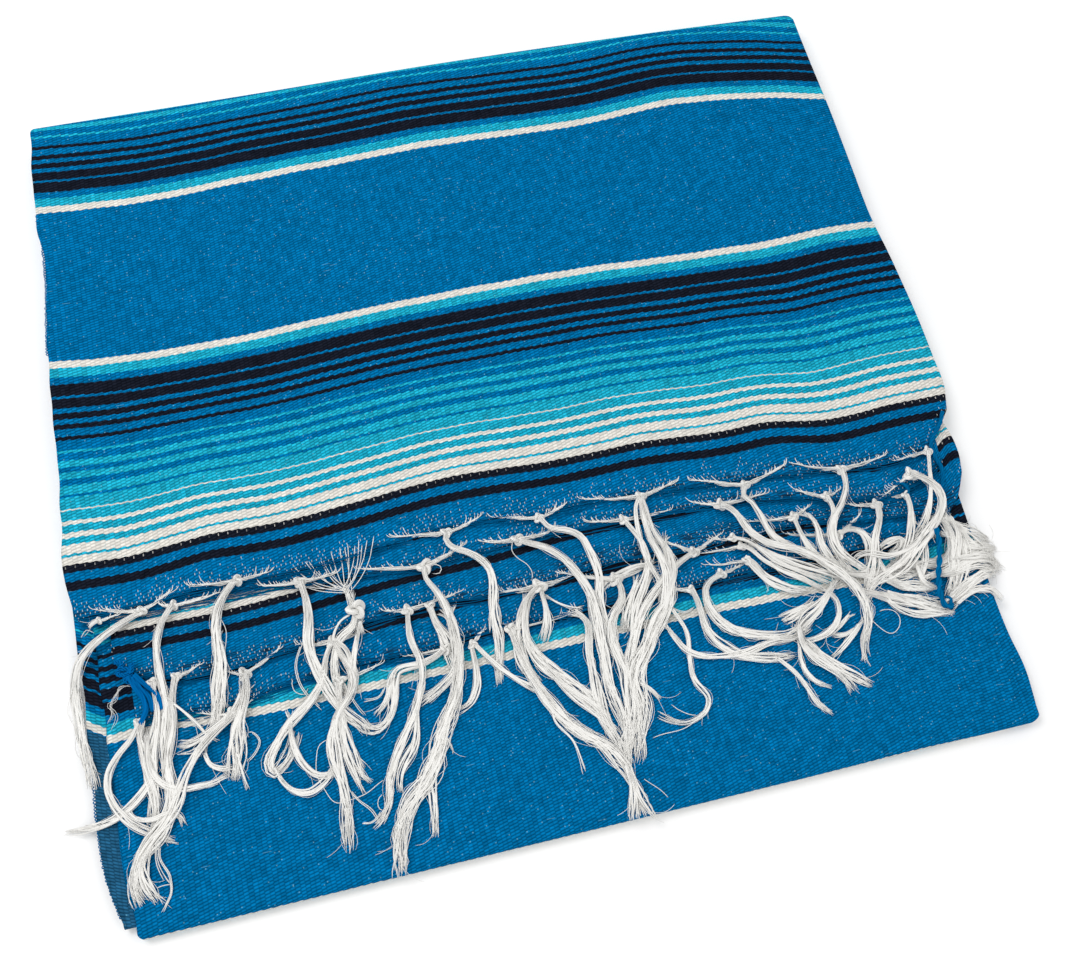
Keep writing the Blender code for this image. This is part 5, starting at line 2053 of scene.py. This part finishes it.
ROW_4 = FringeRow(4, PILE.fourth_end, (-0.305, 0.335), (
    Knot(-303, -186, None, None, 3.7, 6),
    Knot(-160, -187, None, (-129, -181), 3.7, 10),
    Knot(-81, -181, (-112, -180), None, 4.4, 8),
    Knot(-61, -182, None, (-55, -174), 3.7, 10),
    Knot(-31, -177, None, (19, -174), 4.9, 14),
    Knot(110.7, -176.4, (93.6, -171), None, 3.9, 12),
    Knot(137, -169, None, (156, -165), 4.1, 12),
    Knot(238, -158, (197, -149), (258, -147), 4.6, 12),
    Knot(154, -143, (139, -141), None, 3.7, 8),
    Knot(159, -151, (126, -150), (176, -146), 3.7, 10),
    Knot(160, -163, (128, -160), None, 3.7, 8),
    Knot(-240, -194, (-262, -188), (-222, -186), 4.4, 10),
), locks("""
4.5 12 1.5: -300 186, -303 196, -297 222, -303 231, -321 246, -362 250;
4.5 9 2.5: -303 187, -310 197, -320 206, -328 216, -330 228, -326 240, -319 250, -298 267, -287 273;
4 9 3: -299 195, -299 221, -293 232, -283 238, -270 239, -257 238, -247 235;
3 6 3: -318 245, -313 251, -303 254, -292 253, -285 256, -282 264;
4 8 2: -305 186, -303 215, -300 246, -302 258, -307 268;
3 3 2: -301 266, -303 279, -297 301;
2 3 2: -302 266, -308 280, -310 293, -301 311;
2 3 2: -299 268, -301 281, -296 294, -296 304, -305 316;
0.8 1 3: -309 300, -300 299, -294 300;
6 13 3.5: -240 197, -264 213, -274 226, -289 252, -310 273, -317 284, -319 296, -314 308;
5 9 2: -306 272, -313 281, -313 293, -306 309;
5 9 1.5: -160 187, -163 198, -163 228, -161 243, -157 256, -152 264;
4 8 1.5: -163 188, -166 222, -166 240, -158 271;
1.6 3 1.5: -161 210, -162 226, -159 240, -153 252;
2 2 2: -158 190, -153 205, -145 219;
5 11 2: -199 206, -201 218, -200 231, -195 243, -187 250, -178 250, -172 244;
4 8 2.5: -216 238, -212 249, -205 257, -195 260, -186 257, -172 245;
0.8 1 2.5: -174 226, -182 229, -187 238, -185 262, -178 271, -166 272, -140 262;
1.6 2 1.5: -169 262, -163 273, -155 283, -151 294;
1.6 2 1.5: -165 288, -158 290, -148 284;
0.8 1 1.5: -143 271, -149 275, -150 282, -146 285;
6 13 2: -82 181, -89 185, -99 188, -120 190, -124 199, -126 211, -131 221, -140 228, -148 226, -153 219;
4 5 2: -122 192, -134 212, -141 218;
2 3 2: -128 196, -135 205, -147 206;
4 9 2: -62 182, -66 216, -73 224, -83 227;
4 9 2: -60 182, -44 205, -15 231;
9 20 2: -31 178, -24 215, -11 244, -2 257, 20 280, 27 292, 31 331;
7 15 2: 19 174, 25 181, 22 208, 21 252, 28 278, 29 292;
6 12 3: -14 208, -5 222, 22 258, 29 270;
2 4 2: -14 236, -15 248, -5 267, -2 291;
5 8 3: 28 290, 29 303, 23 331;
5 8 3: 30 292, 34 320, 39 333;
0.8 1 2: 35 299, 44 310, 53 323;
3 5 2: 53 236, 60 243, 66 252;
6.5 14 2: 111 176, 113 185, 114 209, 119 220, 128 229, 152 239, 177 242;
7 15 2.5: 137 170, 129 172, 122 178, 120 189, 124 202, 132 212, 157 223, 171 226, 196 221;
4 9 2.5: 84 198, 88 210, 95 221, 107 228, 121 231, 136 232, 168 228, 182 229;
3 5 2: 91 185, 98 205, 94 243, 101 260, 97 267, 88 271, 78 272, 68 268, 59 261;
0.8 1 2: 98 252, 100 261, 95 268, 84 273, 51 278;
0.8 1 2: 92 269, 82 266, 76 262, 72 257;
1.5 2 2: 90 181, 94 188, 101 192, 110 190;
3 6 4: 154 143, 163 147, 184 170, 222 195;
3.5 7 3: 158 150, 166 156, 172 165, 181 174, 204 190, 213 200;
4 8 2: 159 160, 165 167, 170 177, 178 185, 201 196;
3 6 2: 160 165, 166 176, 174 186, 184 193, 197 198;
4 8 2.5: 165 150, 192 170, 236 196;
7 15 4: 224 193, 205 210, 186 222, 181 229;
6 13 3: 184 222, 183 234, 189 246, 207 268, 212 279;
6 13 2: 186 232, 193 244, 226 277;
3 6 2: 181 232, 178 244, 180 256, 186 266, 195 272;
3 6 2: 160 241, 169 252, 182 281, 190 291;
4 8 5: 213 199, 219 207, 219 217, 213 225, 192 234, 184 234;
6 10 2: 202 206, 173 216;
3 4 2: 198 205, 186 208, 170 210;
3.5 6 2: 228 232, 218 235, 207 233;
6 12 3.5: 238 158, 247 156, 256 160, 260 168, 254 188;
4 7 3: 262 176, 282 171, 287 173, 274 182;
9 18 1.5: 230 190, 262 196, 298 200;
8 16 2: 240 205, 272 220, 290 226, 306 228;
4 8 2: 256 212, 264 223, 276 231, 292 235, 309 237;
4 8 3: 262 180, 264 193, 272 205, 285 213, 299 215;
3.5 7 4: 292 186, 291 199, 293 210, 301 216;
2 3 5: 300 194, 309 196, 317 194, 321 186;
5 10 3: 300 228, 341 215, 350 216;
7 14 3: 318 174, 330 183, 343 189, 352 191, 360 196;
8 16 3: 300 205, 314 207, 341 203, 350 207, 354 217;
3.5 8 2: 305 230, 334 223, 344 226, 349 237;
6 10 4: 318 196, 354 198;
8 18 2.5: 276 191, 305 197, 323 195, 346 192, 360 195;
7 16 3: 292 206, 314 204, 334 200, 351 201, 355 213;
6 12 3: 305 230, 319 223, 340 214, 354 212;
7 12 2.5: 259 199, 278 210, 300 214;
4 7 2.5: 310 232, 324 226, 346 223;
3.5 8 4: 268 176, 285 173, 282 178, 272 182;
6 14 2: 259 210, 271 217, 287 226, 305 236;
5 11 5: 332 162, 333 178, 326 194, 314 212;
6 12 4: 324 160, 330 166, 338 174, 349 182, 356 189;
6 12 3.5: 329 164, 335 172, 342 183, 350 194, 356 200;
3 3 3 0.22: -304 158, -311 159, -318 165, -321 171, -320 175, -323 183;
3 2 3 0.22: -305 160, -313 158, -317 168, -322 169, -318 178, -323 188;
0.8 1 2: 241 219, 242 229, 247 238, 254 242, 262 238, 264 231, 261 225, 254 222, 247 224"""))


@dataclass(frozen=True)
class Studio:
    """A pale floor, soft light from all round and one broad lamp, and the camera."""

    place: tuple[float, float, float] = EYE
    right: tuple[float, float, float] = (0.96919, -0.23041, 0.0871)      # of the camera
    ahead: tuple[float, float, float] = (0.15686, 0.3047, -0.93944)      # and where it looks
    sensor: float = 36.0             # its width, millimetres
    lens: float = 36.0 * 1200 / 1070     # focal length, millimetres
    floor_size: float = 12.0
    pale: tuple[float, float, float] = (0.95, 0.95, 0.95)
    glow: float = 0.92               # strength of the light from all round

    def camera(self) -> None:
        """Camera at its place; its axes are made square to each other first."""
        data = bpy.data.cameras.new("camera")
        data.lens, data.sensor_width, data.sensor_fit = self.lens, self.sensor, "HORIZONTAL"
        data.clip_start, data.clip_end = 0.01, 50.0
        ahead = unit(np.array(self.ahead))
        right = unit(np.array(self.right) - ahead * np.dot(self.right, ahead))
        item = put("camera", data)
        stand(item, right, np.cross(right, ahead), -ahead, self.place)
        bpy.context.scene.camera = item

    def floor(self) -> None:
        """A plain pale floor."""
        half = self.floor_size / 2
        mesh = bpy.data.meshes.new("floor")
        corners = [(-half, -half, 0), (half, -half, 0), (half, half, 0), (-half, half, 0)]
        mesh.from_pydata(corners, [], [(0, 1, 2, 3)])
        mesh.materials.append(Graph("floor_finish").matt((*self.pale, 1.0), 0.9))
        put("floor", mesh)

    def lamp(self, name: str, place: tuple[float, float, float], size: float, power: float) -> None:
        """A square area lamp that looks at the middle of the footprint.

        Args:
            name: Its name.
            place: Where it stands.
            size: Length of its sides.
            power: Its power in watts.
        """
        data = bpy.data.lights.new(name, "AREA")
        data.size, data.energy = size, power
        item = put(name, data)
        back = unit(np.array(place))
        side = unit(np.cross((0.0, 1.0, 0.0), back))
        stand(item, side, np.cross(back, side), back, place)

    def build(self) -> None:
        """Set up the studio."""
        self.floor()
        world = bpy.data.worlds.new("studio")
        world.use_nodes = True
        world.node_tree.nodes["Background"].inputs["Color"].default_value = (1.0, 1.0, 1.0, 1.0)
        world.node_tree.nodes["Background"].inputs["Strength"].default_value = self.glow
        bpy.context.scene.world = world
        bpy.context.scene.view_settings.view_transform = "Standard"
        self.lamp("key_lamp", (-0.9, 0.7, 1.9), 0.9, 17.0)
        self.camera()


FRINGES = (ROW_1, ROW_2, ROW_3, ROW_4)           # of the first layer to the fourth
# X of the third layer's sides, by y.
THIRD_LEFT = Table((-0.136, -0.100, -0.040), (-0.3175, -0.3145, -0.3080))
THIRD_RIGHT = Table((-0.125, -0.112, -0.097, -0.086, -0.060, -0.040),
                    (0.3564, 0.3589, 0.3585, 0.3562, 0.354, 0.352))
# Y of its second black stripe, by x, and how much the cloth is drawn out there.
THIRD_BLACK = Table(
    (-0.305, -0.25, -0.19, -0.13, -0.02, 0.0225, 0.071, 0.12, 0.148, 0.26, 0.3416, 0.3513),
    (-0.1305, -0.1315, -0.1295, -0.1245, -0.1195, -0.115,
     -0.1137, -0.1147, -0.1138, -0.118, -0.1165, -0.1109))
THIRD_STRETCH = Table((-0.305, -0.1, 0.34, 0.356), (1.18, 1.10, 1.05, 0.98))
# Metres along the cloth at the fifth layer's front fold, by x: there, and reckoned from the back.
LOWER_NEAR = Table((-0.32, -0.25, 0.0, 0.15, 0.30, 0.335), (1.0675, 1.0675, 1.0685, 1.0688, 1.0695, 1.074))
LOWER_FAR = Table(
    (-0.32, -0.30, -0.25, -0.2, -0.13, -0.05, 0.0, 0.13, 0.17, 0.31, 0.345),
    (1.0688, 1.0676, 1.0705, 1.0720, 1.0715, 1.0715, 1.0705, 1.0702, 1.0710, 1.0700, 1.0657))
# And at the sixth layer's.
INNER_CHART = Table((-0.341, -0.339, -0.328, -0.300), (1.0650, 1.0657, 1.0733, 1.0740))


def main() -> None:
    """Build the serape, its fringes and the studio; put() reports each piece."""
    logging.basicConfig(level=logging.INFO, format="%(name)s %(message)s")
    cloth = ClothFinish().build()
    # the sixth layer's cloth, whose plain bands are taken halfway to slate
    slate_finish = ClothFinish(slate_share=0.5).build("slate_plain_cloth")
    cotton = YarnFinish("fringe_cotton", Tint.YARN).build()
    wool = YarnFinish("blue_wool", Tint.BLUE).build()
    roving = YarnFinish("blue_roving", Tint.ROVING).build()
    fringes = []
    for row in FRINGES:
        threads = EdgeThreads(row.number, row.end, *row.threads).build(wool)
        fringes.append((row.build(cotton), threads))
    tuft, tail = TUFT.build(roving), TAIL.build(wool)
    upper = SelvageLoops("upper_selvage", PILE.top_left, (0.108, 0.232), PILE.height - PILE.cloth / 2)
    lower = SelvageLoops("lower_selvage", PILE.inner_left, (-0.312, -0.204), PILE.upper(6) - PILE.cloth / 2)
    loops = upper.build(wool)
    inner_loops = lower.build(wool)
    first, second, third, fourth = (row.knots_x() for row in FRINGES)
    TopCloth(first, (*fringes[0], tail, loops)).build(cloth)
    LayerEnd(2, "second_cloth", "second_layer_end", PILE.second_end, level(-0.336), level(0.344),
             second, fringes[1]).build(cloth)
    LayerEnd(3, "third_cloth", "third_layer_end", PILE.third_end, THIRD_LEFT, THIRD_RIGHT,
             third, (*fringes[2], tuft), THIRD_BLACK, THIRD_STRETCH, 2 * MM).build(cloth)
    LayerEnd(4, "fourth_cloth", "fourth_layer_end", PILE.fourth_end, level(-0.306), level(0.335),
             fourth, fringes[3]).build(cloth)
    FrontFold("lower_cloth", "lower_layer", 5, PILE.front, PILE.front_radius, PILE.low_left,
              PILE.low_right, LOWER_NEAR, LOWER_FAR, 3.0 * MM, 4 * MM).build(cloth)
    FrontFold("inner_cloth", "inner_layer", 6, -0.3205, (PILE.upper(6) - PILE.pitch) / 2,
              PILE.inner_left, level(0.336), INNER_CHART, INNER_CHART, 0.5 * MM, 0.0,
              (inner_loops,), columns=60, rows=50).build(slate_finish)
    HiddenFolds().build(cloth)
    Studio().build()


if __name__ == "__main__":
    main()
